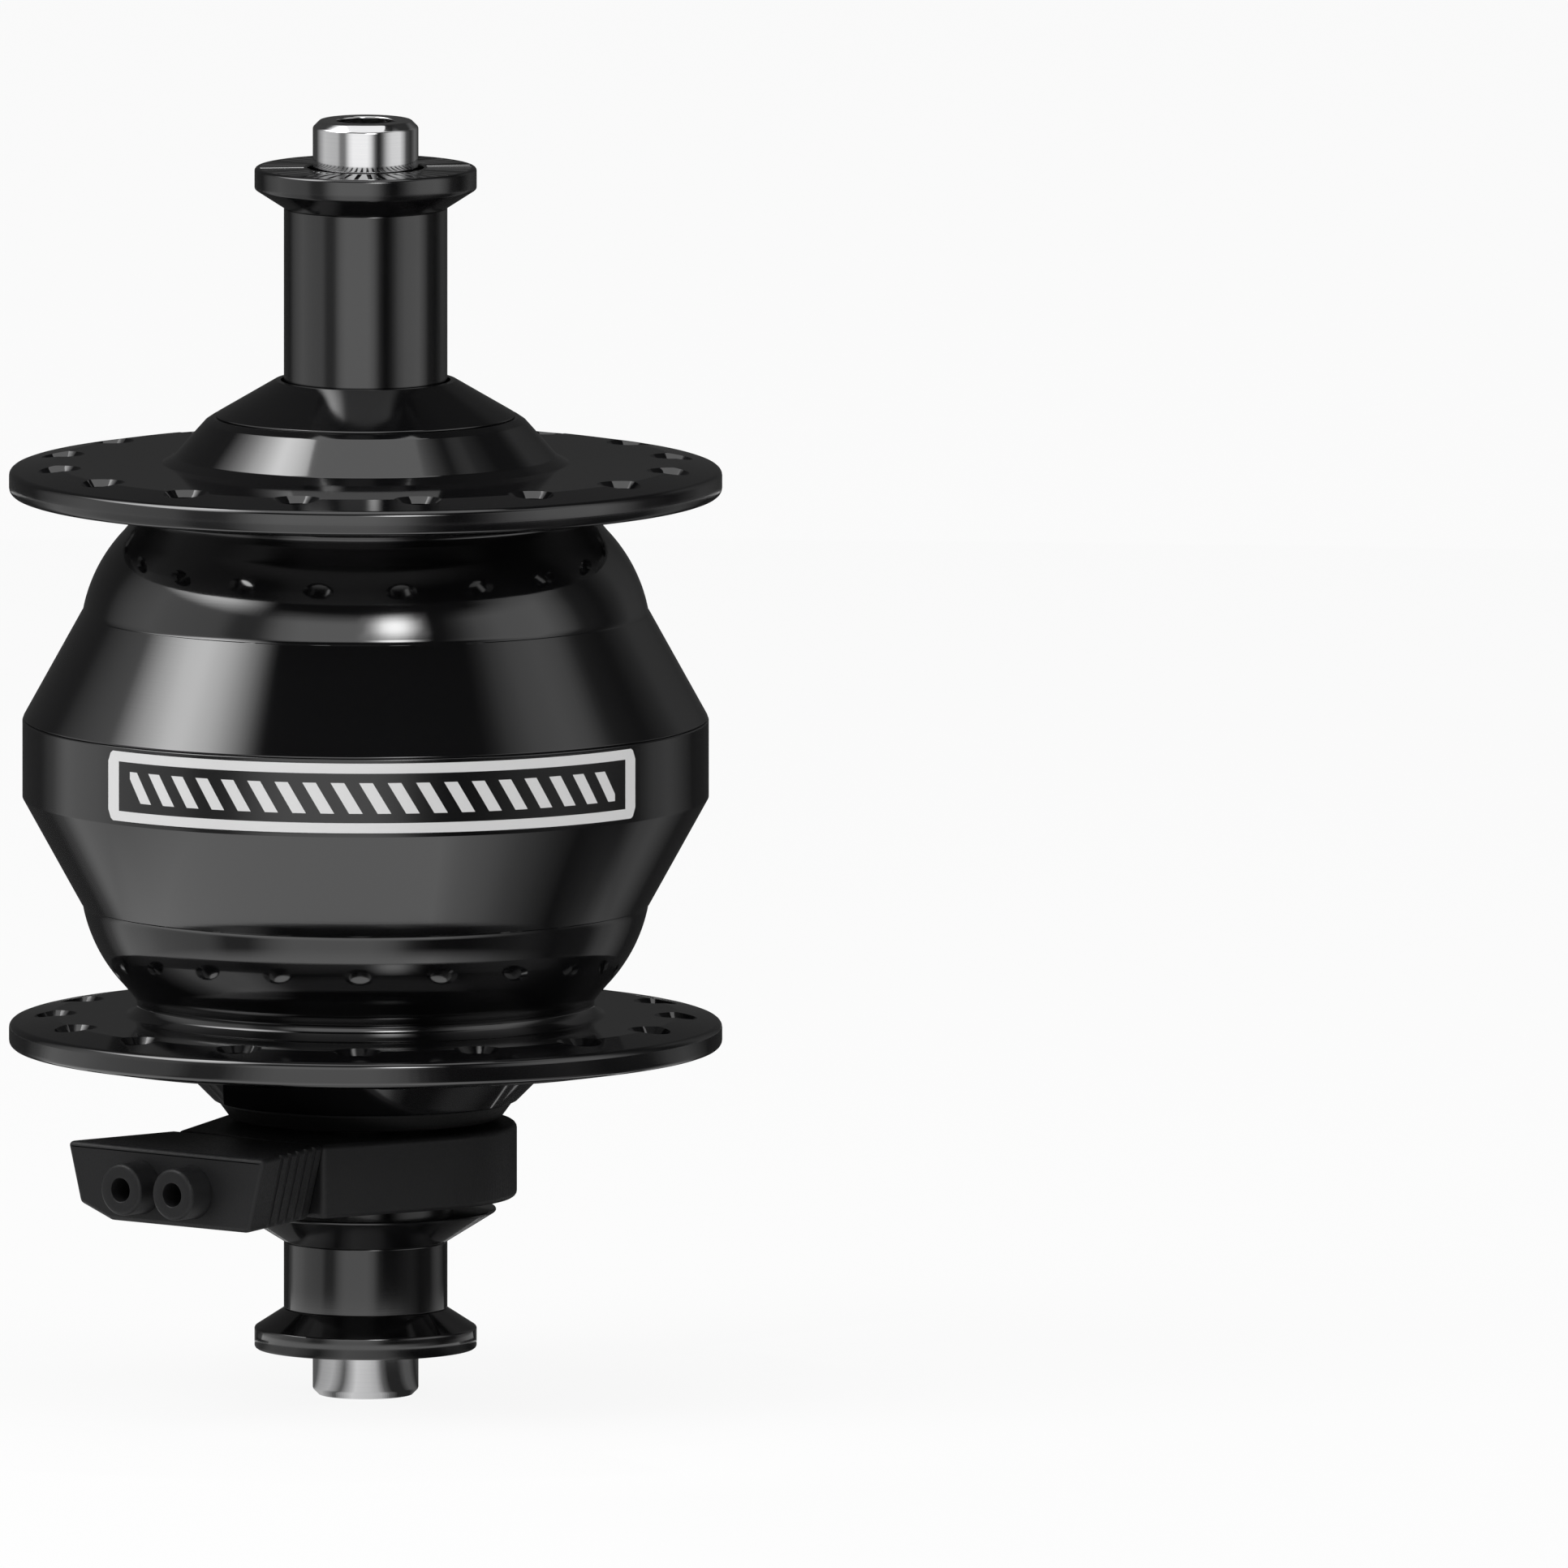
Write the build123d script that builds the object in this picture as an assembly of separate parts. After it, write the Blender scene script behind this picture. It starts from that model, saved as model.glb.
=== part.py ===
from build123d import *
import math
import os

# Front hub dynamo for 32 spokes, modelled as an assembly of its separate pieces.
# Millimetres. +Z runs along the axle towards the plain end and the connector is at
# the -Z end, with its arm along -Y. The origin is the middle of the axle, halfway
# between the two locknut faces. Side is +1 at the plain end and -1 at the connector.

# Overall sizes
fork_width = 100.0  # between the outer faces of the locknuts
axle_length = 108.0
flange_diameter = 60.0
band_diameter = 57.74
spokes_per_flange = 16
pole_count = 28

# Clearances
press_gap = 0.02  # between pieces pressed or screwed together
running_gap = 0.25  # between the turning shell and still pieces
rolling_gap = 0.03  # between a ball and its raceways
cut_over = 1.0  # how far a cutting tool runs past the surface it cuts

# Axle
end_diameter = 8.9  # fork dropouts hold this
thread_diameter = 9.0
relief_diameter = 8.2  # of the undercut where the thread ends
skewer_bore = 5.0
end_round = 0.6
race_seat_diameter = 12.0
stator_seat_diameter = 14.0
stator_shoulder_diameter = 19.0
stator_shoulder_width = 1.6
groove_floor = 4.85  # radius of the floor of the lead groove
groove_width = 2.1

# Locknuts
nut_diameter = 18.7
nut_rim = 1.8
nut_cone = 1.6
nut_edge = 0.3
nut_recess_diameter = 9.8
nut_recess_depth = 0.9
grip_grooves = 45
grip_groove_width = 0.39
grip_groove_depth = 0.3
grip_inner_radius = 5.2
grip_outer_radius = 8.9

# Spacers
spacer_diameter = 13.76
cone_spacer_width = 2.8
cone_spacer_rim_diameter = 22.7
sleeve_diameter = 14.8
sleeve_window_width = 2.4

# Shell outline
band_width = 6.6
cone_end_radius = 23.9
cone_end_height = 12.3
kink_step = 0.1
shoulder_mid_radius = 22.7
shoulder_mid_height = 15.75
shoulder_end_radius = 20.4
shoulder_end_height = 19.05
neck_radius = 19.0
neck_height = 20.75
flange_thickness = 3.25
flange_centre_height = 23.375
flange_root_radius = 20.0
hole_edge_distance = 3.75  # from the rim to the circle of spoke holes
rim_thickness = 1.95
rim_round = 0.3
spoke_hole_diameter = 2.7
countersink_diameter = 3.9
countersink_depth = 0.55
right_hole_angle = 4.0
left_hole_angle = 15.25
boss_length = 3.9  # from the outer face of the flange
right_boss_foot_radius = 17.1
right_boss_root_radius = 16.1
right_boss_root_rise = 0.6
right_boss_edge_radius = 13.5
right_boss_edge_drop = 0.4
right_boss_end_radius = 12.9
left_boss_foot_radius = 16.7
left_boss_end_radius = 12.8

# Shell inside
joint_overlap = 2.3  # length of the screwed joint
joint_wall = 1.15
gasket_thickness = 0.4
cavity_radius = 21.9
cavity_turn_height = 12.0
cavity_knee_radius = 21.2
cavity_knee_height = 14.0
cavity_floor_radius = 14.5
cavity_floor_height = 20.3
bearing_stop_radius = 10.8

# Rotor
flux_ring_wall = 1.5
magnet_thickness = 2.1
magnet_length = 14.0
magnet_space = 0.7  # between one magnet and the next

# Stator
air_gap = 0.4
stator_length = 22.0
plate_thickness = 1.4
claw_thickness = 1.4
claw_root_width = 3.8
claw_tip_width = 2.4
claw_tip_space = 0.6
core_diameter = 19.0
bobbin_wall = 1.0
bobbin_flange_diameter = 38.6
winding_diameter = 37.0
stator_nut_width = 22.0  # across the flats
stator_nut_height = 2.6

# Bearings
bearing_diameter = 24.0
bearing_width = 6.0
bearing_height = 21.3  # inner end of a bearing above the origin
inner_race_diameter = 15.6
outer_race_bore = 20.4
ball_diameter = 3.175
ball_count = 9
cage_wall = 1.3
cage_thickness = 0.6
shield_thickness = 0.35
shield_bore = 16.2

# Seals
seal_spigot = 1.1
cap_bore = 14.3
cap_lip_height = 32.0
seal_rim_radius = 12.5
seal_end_radius = 11.4
seal_height = 1.5  # from the end of the boss
lip_thickness = 1.0
lip_clearance = 0.1

# Connector
connector_radius = 12.73
connector_top = 30.8  # below the origin
connector_bottom = 38.1
connector_top_chamfer = 0.6
connector_bottom_chamfer = 1.1
arm_reach = 15.4
arm_half_width = 8.0
arm_bottom = 37.1
wire_well_room = 1.4  # in the well, round the start of the pins
wire_well_width = 7.2
wire_well_height = 3.1

# Plug
plug_gap = 0.1  # between the arm and the plug
plug_length = 11.1
plug_top = 30.8
plug_bottom = 37.2
plug_start_half_width = 8.2
plug_end_half_width = 10.75
plug_draft = 1.7  # how much narrower each side is at the bottom
corner_cut_width = 3.0
corner_cut_height = 1.25
rib_count = 5
rib_pitch = 1.3
rib_depth = 0.35
rib_lean = 20.0
nozzle_diameter = 4.4
nozzle_length = 2.6
nozzle_edge = 0.4
nozzle_spacing = 5.6
nozzle_drop = 34.15  # below the origin
wire_bore = 2.0

# Contacts
pin_diameter = 1.2
pin_clearance = 2.2  # from the sleeve to the start of a pin
pin_proud = 6.6  # length of a pin in front of the arm
contact_diameter = 2.6
contact_sink = 1.0  # from the mouth of the plug
contact_length = 7.5
lead_radius = 0.42
lead_spacing = 1.0
lead_rise = 12.0  # where a lead leaves the winding
lead_clearance = 0.6  # from the sleeve to where the leads spread towards the pins

# Worked out from the sizes above
fork_half = fork_width / 2
axle_half = axle_length / 2
end_radius = end_diameter / 2
thread_radius = thread_diameter / 2
seat_radius = race_seat_diameter / 2
core_seat_radius = stator_seat_diameter / 2
band_radius = band_diameter / 2
band_half = band_width / 2
flange_inner = flange_centre_height - flange_thickness / 2
flange_outer = flange_centre_height + flange_thickness / 2
rim_radius = flange_diameter / 2
hole_circle = rim_radius - hole_edge_distance
bearing_end = bearing_height + bearing_width
bearing_middle = bearing_height + bearing_width / 2
bearing_radius = bearing_diameter / 2
boss_end = flange_outer + boss_length
seal_end_height = boss_end + seal_height
recess_floor = fork_half - nut_recess_depth
nut_inner_height = fork_half - nut_rim - nut_cone
spacer_radius = spacer_diameter / 2
sleeve_radius = sleeve_diameter / 2
cone_spacer_end = connector_bottom + cone_spacer_width
magnet_half = magnet_length / 2
stator_half = stator_length / 2
plate_inner = stator_half - plate_thickness
stator_radius = cavity_radius - air_gap - air_gap
magnet_bore = stator_radius + air_gap
flux_bore = magnet_bore + magnet_thickness
flux_radius = flux_bore + flux_ring_wall
joint_radius = flux_radius + joint_wall + press_gap
joint_end = band_half + joint_overlap
ball_circle = (inner_race_diameter + outer_race_bore) / 4
core_radius = core_diameter / 2
plug_start = arm_reach + plug_gap
plug_end = plug_start + plug_length
pin_start = sleeve_radius + pin_clearance
pin_end = arm_reach + pin_proud
lead_parting = sleeve_radius + lead_clearance
wire_well_reach = pin_start + wire_well_room
contact_start = plug_start + contact_sink
contact_end = contact_start + contact_length
bobbin_half = plate_inner - press_gap


def turned(*points):
    """Solid turned about the axle from an outline of (radius, height) points."""
    return turned_wire([Polyline(*points, close=True)])


def turned_wire(edges):
    """Solid turned about the axle from edges drawn in (radius, height)."""
    return revolve(Plane.XZ * make_face(edges), Axis.Z)


def ring(inner_radius, outer_radius, low, high):
    """Plain ring round the axle between two heights."""
    return turned((inner_radius, low), (outer_radius, low), (outer_radius, high), (inner_radius, high))


def on_side(solid, side):
    """The solid as it is at the plain end, or its mirror image at the connector end."""
    return solid if side > 0 else mirror(solid, Plane.XY)


def block(x_range, y_range, z_range):
    """Rectangular block between three pairs of limits."""
    size = [high - low for low, high in (x_range, y_range, z_range)]
    middle = [(high + low) / 2 for low, high in (x_range, y_range, z_range)]
    return Pos(*middle) * Box(*size)


def rod(radius, x, z, reach_start, reach_end):
    """Round rod along the connector arm, which points along -Y."""
    length = reach_end - reach_start
    return Pos(x, -(reach_start + reach_end) / 2, z) * Rot(90, 0, 0) * Cylinder(radius, length)


def axle():
    """Hollow stepped axle with a groove for the leads."""
    shoulder_end = stator_half + stator_shoulder_width
    shoulder_radius = stator_shoulder_diameter / 2
    relief_radius = relief_diameter / 2
    thread_start = connector_bottom + cone_spacer_width / 2
    body = turned(
        (skewer_bore / 2, -axle_half),
        (end_radius - end_round, -axle_half),
        (end_radius, -axle_half + end_round),
        (end_radius, -fork_half),
        (relief_radius, -fork_half),
        (relief_radius, -recess_floor),
        (thread_radius, -recess_floor),
        (thread_radius, -thread_start),
        (seat_radius, -thread_start),
        (seat_radius, -bearing_height),
        (core_seat_radius, -bearing_height),
        (core_seat_radius, stator_half),
        (shoulder_radius, stator_half),
        (shoulder_radius, shoulder_end),
        (core_seat_radius, shoulder_end),
        (core_seat_radius, bearing_height),
        (seat_radius, bearing_height),
        (seat_radius, bearing_end),
        (thread_radius, bearing_end),
        (thread_radius, recess_floor),
        (relief_radius, recess_floor),
        (relief_radius, fork_half),
        (end_radius, fork_half),
        (end_radius, axle_half - end_round),
        (end_radius - end_round, axle_half),
        (skewer_bore / 2, axle_half),
    )
    groove = block(
        (-groove_width / 2, groove_width / 2),
        (-core_seat_radius - cut_over, -groove_floor),
        (-arm_bottom, -plate_inner),
    )
    return body - groove


def locknut(side):
    """Round locknut with a knurled face that bites the fork."""
    nut_radius = nut_diameter / 2
    nut = turned(
        (thread_radius + press_gap, nut_inner_height),
        (spacer_radius, nut_inner_height),
        (nut_radius, fork_half - nut_rim),
        (nut_radius, fork_half - nut_edge),
        (nut_radius - nut_edge, fork_half),
        (nut_recess_diameter / 2, fork_half),
        (nut_recess_diameter / 2, recess_floor),
        (thread_radius + press_gap, recess_floor),
    )
    groove = block(
        (grip_inner_radius, grip_outer_radius),
        (-grip_groove_width / 2, grip_groove_width / 2),
        (fork_half - grip_groove_depth, fork_half + cut_over),
    )
    grooves = [Rot(0, 0, turn * 360 / grip_grooves) * groove for turn in range(grip_grooves)]
    return on_side(nut - grooves, side)


def right_spacer():
    """Polished tube between the right bearing and the right locknut."""
    return ring(thread_radius + press_gap, spacer_radius, bearing_end, nut_inner_height)


def left_spacer():
    """Polished tube between the cone spacer and the left locknut."""
    return ring(thread_radius + press_gap, spacer_radius, -nut_inner_height, -cone_spacer_end)


def left_cone_spacer():
    """Turned cone that clamps the connector, with a sleeve inside it to the bearing."""
    thread_start = connector_bottom + cone_spacer_width / 2
    cone = turned(
        (seat_radius + press_gap, -bearing_end),
        (sleeve_radius, -bearing_end),
        (sleeve_radius, -connector_bottom),
        (cone_spacer_rim_diameter / 2, -connector_bottom),
        (spacer_radius, -cone_spacer_end),
        (thread_radius + press_gap, -cone_spacer_end),
        (thread_radius + press_gap, -thread_start),
        (seat_radius + press_gap, -thread_start),
    )
    window = block(
        (-sleeve_window_width / 2, sleeve_window_width / 2),
        (-sleeve_radius - cut_over, 0),
        (-nozzle_drop - wire_well_height / 2, -nozzle_drop + wire_well_height / 2),
    )
    return cone - window


def flange_edges():
    """Edges of the upper flange from its root on the neck to its outer face."""
    taper_start = hole_circle
    rim_edge = rim_radius - rim_round
    rim_low = flange_centre_height - rim_thickness / 2
    rim_high = flange_centre_height + rim_thickness / 2
    return Polyline(
        (neck_radius, neck_height),
        (flange_root_radius, flange_inner),
        (taper_start, flange_inner),
        (rim_edge, rim_low),
        (rim_radius, rim_low + rim_round),
        (rim_radius, rim_high - rim_round),
        (rim_edge, rim_high),
        (taper_start, flange_outer),
    )


def shoulder_edges():
    """Edges from the end of the cone, round the shoulder, to the neck."""
    shoulder_start = (cone_end_radius - kink_step, cone_end_height + kink_step)
    return [
        Line((cone_end_radius, cone_end_height), shoulder_start),
        ThreePointArc(
            shoulder_start,
            (shoulder_mid_radius, shoulder_mid_height),
            (shoulder_end_radius, shoulder_end_height),
        ),
        Line((shoulder_end_radius, shoulder_end_height), (neck_radius, neck_height)),
    ]


def end_wall_points():
    """Inside of a shell from the mouth of its bearing seat to the rotor seat."""
    return [
        (bearing_radius, boss_end),
        (bearing_radius, bearing_height),
        (bearing_stop_radius, bearing_height),
        (bearing_stop_radius, cavity_floor_height),
        (cavity_floor_radius, cavity_floor_height),
        (cavity_knee_radius, cavity_knee_height),
        (cavity_radius, cavity_turn_height),
        (cavity_radius, magnet_half),
        (flux_radius + press_gap, magnet_half),
    ]


def spoke_holes(side, first_angle):
    """Cutters for the spoke holes of one flange, countersunk on both faces."""
    hole = spoke_hole_diameter / 2
    mouth = countersink_diameter / 2
    cutter = turned(
        (0, flange_inner - cut_over),
        (mouth, flange_inner - cut_over),
        (mouth, flange_inner),
        (hole, flange_inner + countersink_depth),
        (hole, flange_outer - countersink_depth),
        (mouth, flange_outer),
        (mouth, flange_outer + cut_over),
        (0, flange_outer + cut_over),
    )
    step = 360 / spokes_per_flange
    placed = [
        Rot(0, 0, first_angle + turn * step) * Pos(hole_circle, 0, 0) * cutter
        for turn in range(spokes_per_flange)
    ]
    return [on_side(placed_cutter, side) for placed_cutter in placed]


def right_shell():
    """Right half of the hub shell, screwed over the left half at the edge of the band."""
    outline = [
        Polyline((joint_radius, band_half), (band_radius, band_half), (cone_end_radius, cone_end_height)),
        *shoulder_edges(),
        flange_edges(),
        Polyline(
            (hole_circle, flange_outer),
            (right_boss_foot_radius, flange_outer),
            (right_boss_root_radius, flange_outer + right_boss_root_rise),
            (right_boss_edge_radius, boss_end - right_boss_edge_drop),
            (right_boss_end_radius, boss_end),
            *end_wall_points(),
            (flux_radius + press_gap, joint_end + gasket_thickness),
            (joint_radius, joint_end + gasket_thickness),
            (joint_radius, band_half),
        ),
    ]
    return turned_wire(outline) - spoke_holes(1, right_hole_angle)


def hub_shell():
    """Left half of the hub shell, with the centre band and the spigot of the joint."""
    outline = [
        Line((band_radius, band_half), (cone_end_radius, cone_end_height)),
        *shoulder_edges(),
        flange_edges(),
        Polyline(
            (hole_circle, flange_outer),
            (left_boss_foot_radius, flange_outer),
            (left_boss_end_radius, boss_end),
            *end_wall_points(),
            (flux_radius + press_gap, -joint_end),
            (joint_radius - press_gap, -joint_end),
            (joint_radius - press_gap, -band_half),
            (band_radius, -band_half),
            (band_radius, band_half),
        ),
    ]
    return mirror(turned_wire(outline), Plane.XY) - spoke_holes(-1, left_hole_angle)


def joint_gasket():
    """Flat gasket squeezed between the spigot and the right half."""
    return ring(
        flux_radius + 2 * press_gap,
        joint_radius - press_gap,
        joint_end + press_gap,
        joint_end + gasket_thickness - press_gap,
    )


def flux_ring():
    """Steel ring that closes the magnetic circuit behind the magnets."""
    return ring(flux_bore, flux_radius, -magnet_half + press_gap, magnet_half - press_gap)


def magnets():
    """Permanent magnets round the inside of the flux ring, one for each pole."""
    blank = ring(magnet_bore, flux_bore - press_gap, -magnet_half + press_gap, magnet_half - press_gap)
    space = block(
        (magnet_bore - cut_over, flux_bore + cut_over),
        (-magnet_space / 2, magnet_space / 2),
        (-magnet_half - cut_over, magnet_half + cut_over),
    )
    step = 360 / pole_count
    return blank - [Rot(0, 0, (turn + 0.5) * step) * space for turn in range(pole_count)]


def claw_ring(side):
    """Iron end plate of the stator with its claws, which reach over the coil."""
    claws = pole_count // 2
    plate = ring(core_seat_radius + press_gap, stator_radius - claw_thickness, plate_inner, stator_half)
    tube = ring(
        stator_radius - claw_thickness,
        stator_radius,
        -plate_inner + claw_tip_space,
        stator_half,
    )
    shape = Polyline(
        (-claw_root_width / 2, stator_half),
        (claw_root_width / 2, stator_half),
        (claw_tip_width / 2, -plate_inner + claw_tip_space),
        (-claw_tip_width / 2, -plate_inner + claw_tip_space),
        close=True,
    )
    claw = extrude(Plane.YZ * make_face(shape), stator_radius + cut_over)
    step = 360 / claws
    cutters = [Rot(0, 0, turn * step) * claw for turn in range(claws)]
    made = on_side(plate + (tube & Compound(cutters)), side)
    if side > 0:
        return made
    notch = block(
        (-groove_width / 2, groove_width / 2),
        (-lead_rise - lead_spacing, 0),
        (-stator_half - cut_over, -plate_inner + cut_over),
    )
    return Rot(0, 0, step / 2) * made - notch


def stator_core():
    """Iron sleeve that carries the flux through the middle of the coil."""
    return ring(core_seat_radius + press_gap, core_radius, -plate_inner, plate_inner)


def coil_bobbin():
    """Moulded bobbin that holds the winding."""
    hub = core_radius + press_gap
    hub_top = hub + bobbin_wall
    rim = bobbin_flange_diameter / 2
    bobbin = turned(
        (hub, -bobbin_half),
        (rim, -bobbin_half),
        (rim, -bobbin_half + bobbin_wall),
        (hub_top, -bobbin_half + bobbin_wall),
        (hub_top, bobbin_half - bobbin_wall),
        (rim, bobbin_half - bobbin_wall),
        (rim, bobbin_half),
        (hub, bobbin_half),
    )
    hole = block(
        (-groove_width / 2, groove_width / 2),
        (-lead_rise - lead_spacing, -lead_rise + lead_spacing),
        (-bobbin_half - cut_over, -bobbin_half + bobbin_wall),
    )
    return bobbin - hole


def coil_winding():
    """Copper winding between the flanges of the bobbin."""
    half = bobbin_half - bobbin_wall - press_gap
    return ring(core_radius + bobbin_wall + 2 * press_gap, winding_diameter / 2, -half, half)


def stator_nut():
    """Thin nut that clamps the stator against the shoulder of the axle."""
    blank = RegularPolygon(stator_nut_width / 2, 6, major_radius=False)
    bore = Circle(core_seat_radius + press_gap)
    return Pos(0, 0, -stator_half - stator_nut_height) * extrude(blank - bore, stator_nut_height)


def lead_wires():
    """Two enamelled leads from the coil through the axle groove to the pins."""
    middle = groove_floor + lead_radius + press_gap
    plate_middle = plate_inner + plate_thickness / 2
    wires = []
    for hand in (-1, 1):
        near = hand * lead_spacing / 2
        far = hand * nozzle_spacing / 2
        route = Polyline(
            (near, -lead_rise, -bobbin_half + bobbin_wall),
            (near, -lead_rise, -plate_middle),
            (near, -middle, -plate_middle),
            (near, -middle, -nozzle_drop),
            (near, -lead_parting, -nozzle_drop),
            (far, -pin_start + lead_spacing, -nozzle_drop),
            (far, -pin_start, -nozzle_drop),
        )
        section = Plane(route @ 0, z_dir=route % 0) * RegularPolygon(lead_radius, 6)
        wires.append(sweep(section, path=route, transition=Transition.RIGHT))
    return Compound(children=wires)


def inner_race(side):
    """Inner race of a bearing, with the groove that its balls run in."""
    return on_side(race(seat_radius + press_gap, inner_race_diameter / 2), side)


def outer_race(side):
    """Outer race of a bearing, pressed into the shell."""
    return on_side(race(bearing_radius - press_gap, outer_race_bore / 2), side)


def race(seat, track):
    """Plain ring from its seat to its track, with a groove for the balls in the track."""
    low, high = sorted((seat, track))
    section = RegularPolygon(ball_diameter / 2 + rolling_gap, 12, major_radius=False, rotation=15)
    groove = revolve(Plane.XZ * Pos(ball_circle, bearing_middle) * section, Axis.Z)
    return ring(low, high, bearing_height, bearing_end) - groove


def ball_set(side):
    """Balls of one bearing, each with small flats between points on its sphere to stay light."""
    radius = ball_diameter / 2
    points = [Vector(0, 0, -radius), Vector(0, 0, radius)]
    for latitude in (-45, 0, 45):
        for turn in range(8):
            points.append(Vector(radius, 0, 0).rotate(Axis.Y, latitude).rotate(Axis.Z, turn * 360 / 8))
    ball = ConvexPolyhedron(points)
    step = 360 / ball_count
    balls = [
        Rot(0, 0, turn * step) * Pos(ball_circle, 0, side * bearing_middle) * ball
        for turn in range(ball_count)
    ]
    return Compound(children=balls)


def ball_cage(side):
    """Ring that keeps the balls of one bearing apart."""
    low = bearing_middle - ball_diameter / 2 - cage_thickness - rolling_gap
    cage = ring(ball_circle - cage_wall / 2, ball_circle + cage_wall / 2, low, low + cage_thickness)
    return on_side(cage, side)


def right_dust_cap():
    """Turned cap over the right bearing, pressed into the mouth of the boss."""
    bore = cap_bore / 2
    slope = (right_boss_end_radius - spacer_radius) / (cap_lip_height + running_gap - boss_end)
    lip_radius = right_boss_end_radius - slope * (cap_lip_height - boss_end)
    return turned(
        (bore, boss_end - seal_spigot),
        (bearing_radius - press_gap, boss_end - seal_spigot),
        (bearing_radius - press_gap, boss_end),
        (right_boss_end_radius, boss_end),
        (lip_radius, cap_lip_height),
        (bore, cap_lip_height),
    )


def right_lip_seal():
    """Rubber ring in the dust cap that wipes the right spacer."""
    lip = spacer_radius + lip_clearance
    low = boss_end - seal_spigot
    return ring(lip, cap_bore / 2 - press_gap, low, low + lip_thickness)


def left_dust_seal():
    """Rubber ring that closes the left boss against the connector."""
    lip = sleeve_radius + lip_clearance
    spigot_radius = bearing_radius - press_gap
    seal = turned(
        (lip, boss_end - seal_spigot),
        (spigot_radius, boss_end - seal_spigot),
        (spigot_radius, boss_end),
        (seal_rim_radius, boss_end),
        (seal_end_radius, seal_end_height),
        (lip, seal_end_height),
    )
    return on_side(seal, -1)


def bearing_shield(side):
    """Thin steel shield over the balls, on the side of the coil."""
    low = bearing_height + press_gap
    shield = ring(shield_bore / 2, outer_race_bore / 2 - press_gap, low, low + shield_thickness)
    return on_side(shield, side)


def connector_base():
    """Moulded collar on the axle whose arm carries the two pins."""
    bore = sleeve_radius + press_gap
    collar = turned(
        (bore, -connector_bottom),
        (connector_radius - connector_bottom_chamfer, -connector_bottom),
        (connector_radius, -connector_bottom + connector_bottom_chamfer),
        (connector_radius, -connector_top - connector_top_chamfer),
        (connector_radius - connector_bottom_chamfer, -connector_top),
        (bore, -connector_top),
    )
    arm_end = Vector(arm_half_width, -arm_reach)
    touch = tangent_point(arm_end, connector_radius)
    outline = Polyline(
        (touch.X, touch.Y),
        (arm_half_width, -arm_reach),
        (-arm_half_width, -arm_reach),
        (-touch.X, touch.Y),
        close=True,
    )
    arm = Pos(0, 0, -arm_bottom) * extrude(make_face(outline), arm_bottom - connector_top)
    bore_cutter = Pos(0, 0, -(arm_bottom + connector_top) / 2) * Cylinder(bore, arm_bottom)
    well = block(
        (-wire_well_width / 2, wire_well_width / 2),
        (-wire_well_reach, 0),
        (-nozzle_drop - wire_well_height / 2, -nozzle_drop + wire_well_height / 2),
    )
    pin_bores = [
        rod(pin_diameter / 2, hand * nozzle_spacing / 2, -nozzle_drop, pin_start, arm_reach + cut_over)
        for hand in (-1, 1)
    ]
    return collar + arm - bore_cutter - well - pin_bores


def tangent_point(corner, radius):
    """Where a line from the corner touches a circle round the axle, on the outer side."""
    distance = corner.length
    turn = math.acos(radius / distance)
    angle = math.atan2(corner.Y, corner.X) + turn
    return Vector(radius * math.cos(angle), radius * math.sin(angle))


def terminal_pins():
    """Two brass pins moulded into the arm."""
    pins = [
        rod(pin_diameter / 2, hand * nozzle_spacing / 2, -nozzle_drop, pin_start, pin_end)
        for hand in (-1, 1)
    ]
    return Compound(children=pins)


def plug_section(half_width, reach):
    """Cross-section of the plug, square to the arm."""
    bottom_half = half_width - plug_draft
    cut_top = plug_bottom - corner_cut_height
    slope = plug_draft / (plug_bottom - plug_top)
    cut_half = half_width - slope * (cut_top - plug_top)
    section = Polyline(
        (half_width, -plug_top),
        (bottom_half, -plug_bottom),
        (-bottom_half + corner_cut_width, -plug_bottom),
        (-cut_half, -cut_top),
        (-half_width, -plug_top),
        close=True,
    )
    return Plane.XZ.offset(reach) * make_face(section)


def plug_housing():
    """Moulded plug with two nozzles for the wires and ribbed flanks for the fingers."""
    body = loft(
        [plug_section(plug_start_half_width, plug_start), plug_section(plug_end_half_width, plug_end)],
        ruled=True,
    )
    flare = (plug_end_half_width - plug_start_half_width) / (plug_end - plug_start)
    for hand in (-1, 1):
        for rib in range(rib_count):
            reach = plug_end - (rib + 1) * rib_pitch
            flank = plug_start_half_width + flare * (reach - plug_start) - plug_draft / 2
            middle = -(plug_top + plug_bottom) / 2
            tilt = math.degrees(math.atan2(plug_draft, plug_bottom - plug_top))
            notch = Box(2 * rib_depth, rib_pitch / 2, 2 * (plug_bottom - plug_top))
            body -= Pos(hand * flank, -reach, middle) * Rot(rib_lean, hand * tilt, 0) * notch
    for hand in (-1, 1):
        x = hand * nozzle_spacing / 2
        nozzle = rod(nozzle_diameter / 2, x, -nozzle_drop, plug_end - nozzle_length, plug_end + nozzle_length)
        body += chamfer(nozzle.edges().sort_by(Axis.Y)[0], nozzle_edge)
    for hand in (-1, 1):
        x = hand * nozzle_spacing / 2
        body -= rod(contact_diameter / 2 + press_gap, x, -nozzle_drop, plug_start - cut_over, contact_end)
        body -= rod(wire_bore / 2, x, -nozzle_drop, plug_start, plug_end + nozzle_length + cut_over)
    return body


def plug_contacts():
    """Two sprung sleeves in the plug that grip the pins."""
    bore = pin_diameter / 2 + rolling_gap
    sleeves = []
    for hand in (-1, 1):
        x = hand * nozzle_spacing / 2
        sleeve = rod(contact_diameter / 2, x, -nozzle_drop, contact_start, contact_end - press_gap)
        sleeves.append(sleeve - rod(bore, x, -nozzle_drop, contact_start - cut_over, contact_end))
    return Compound(children=sleeves)


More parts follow.
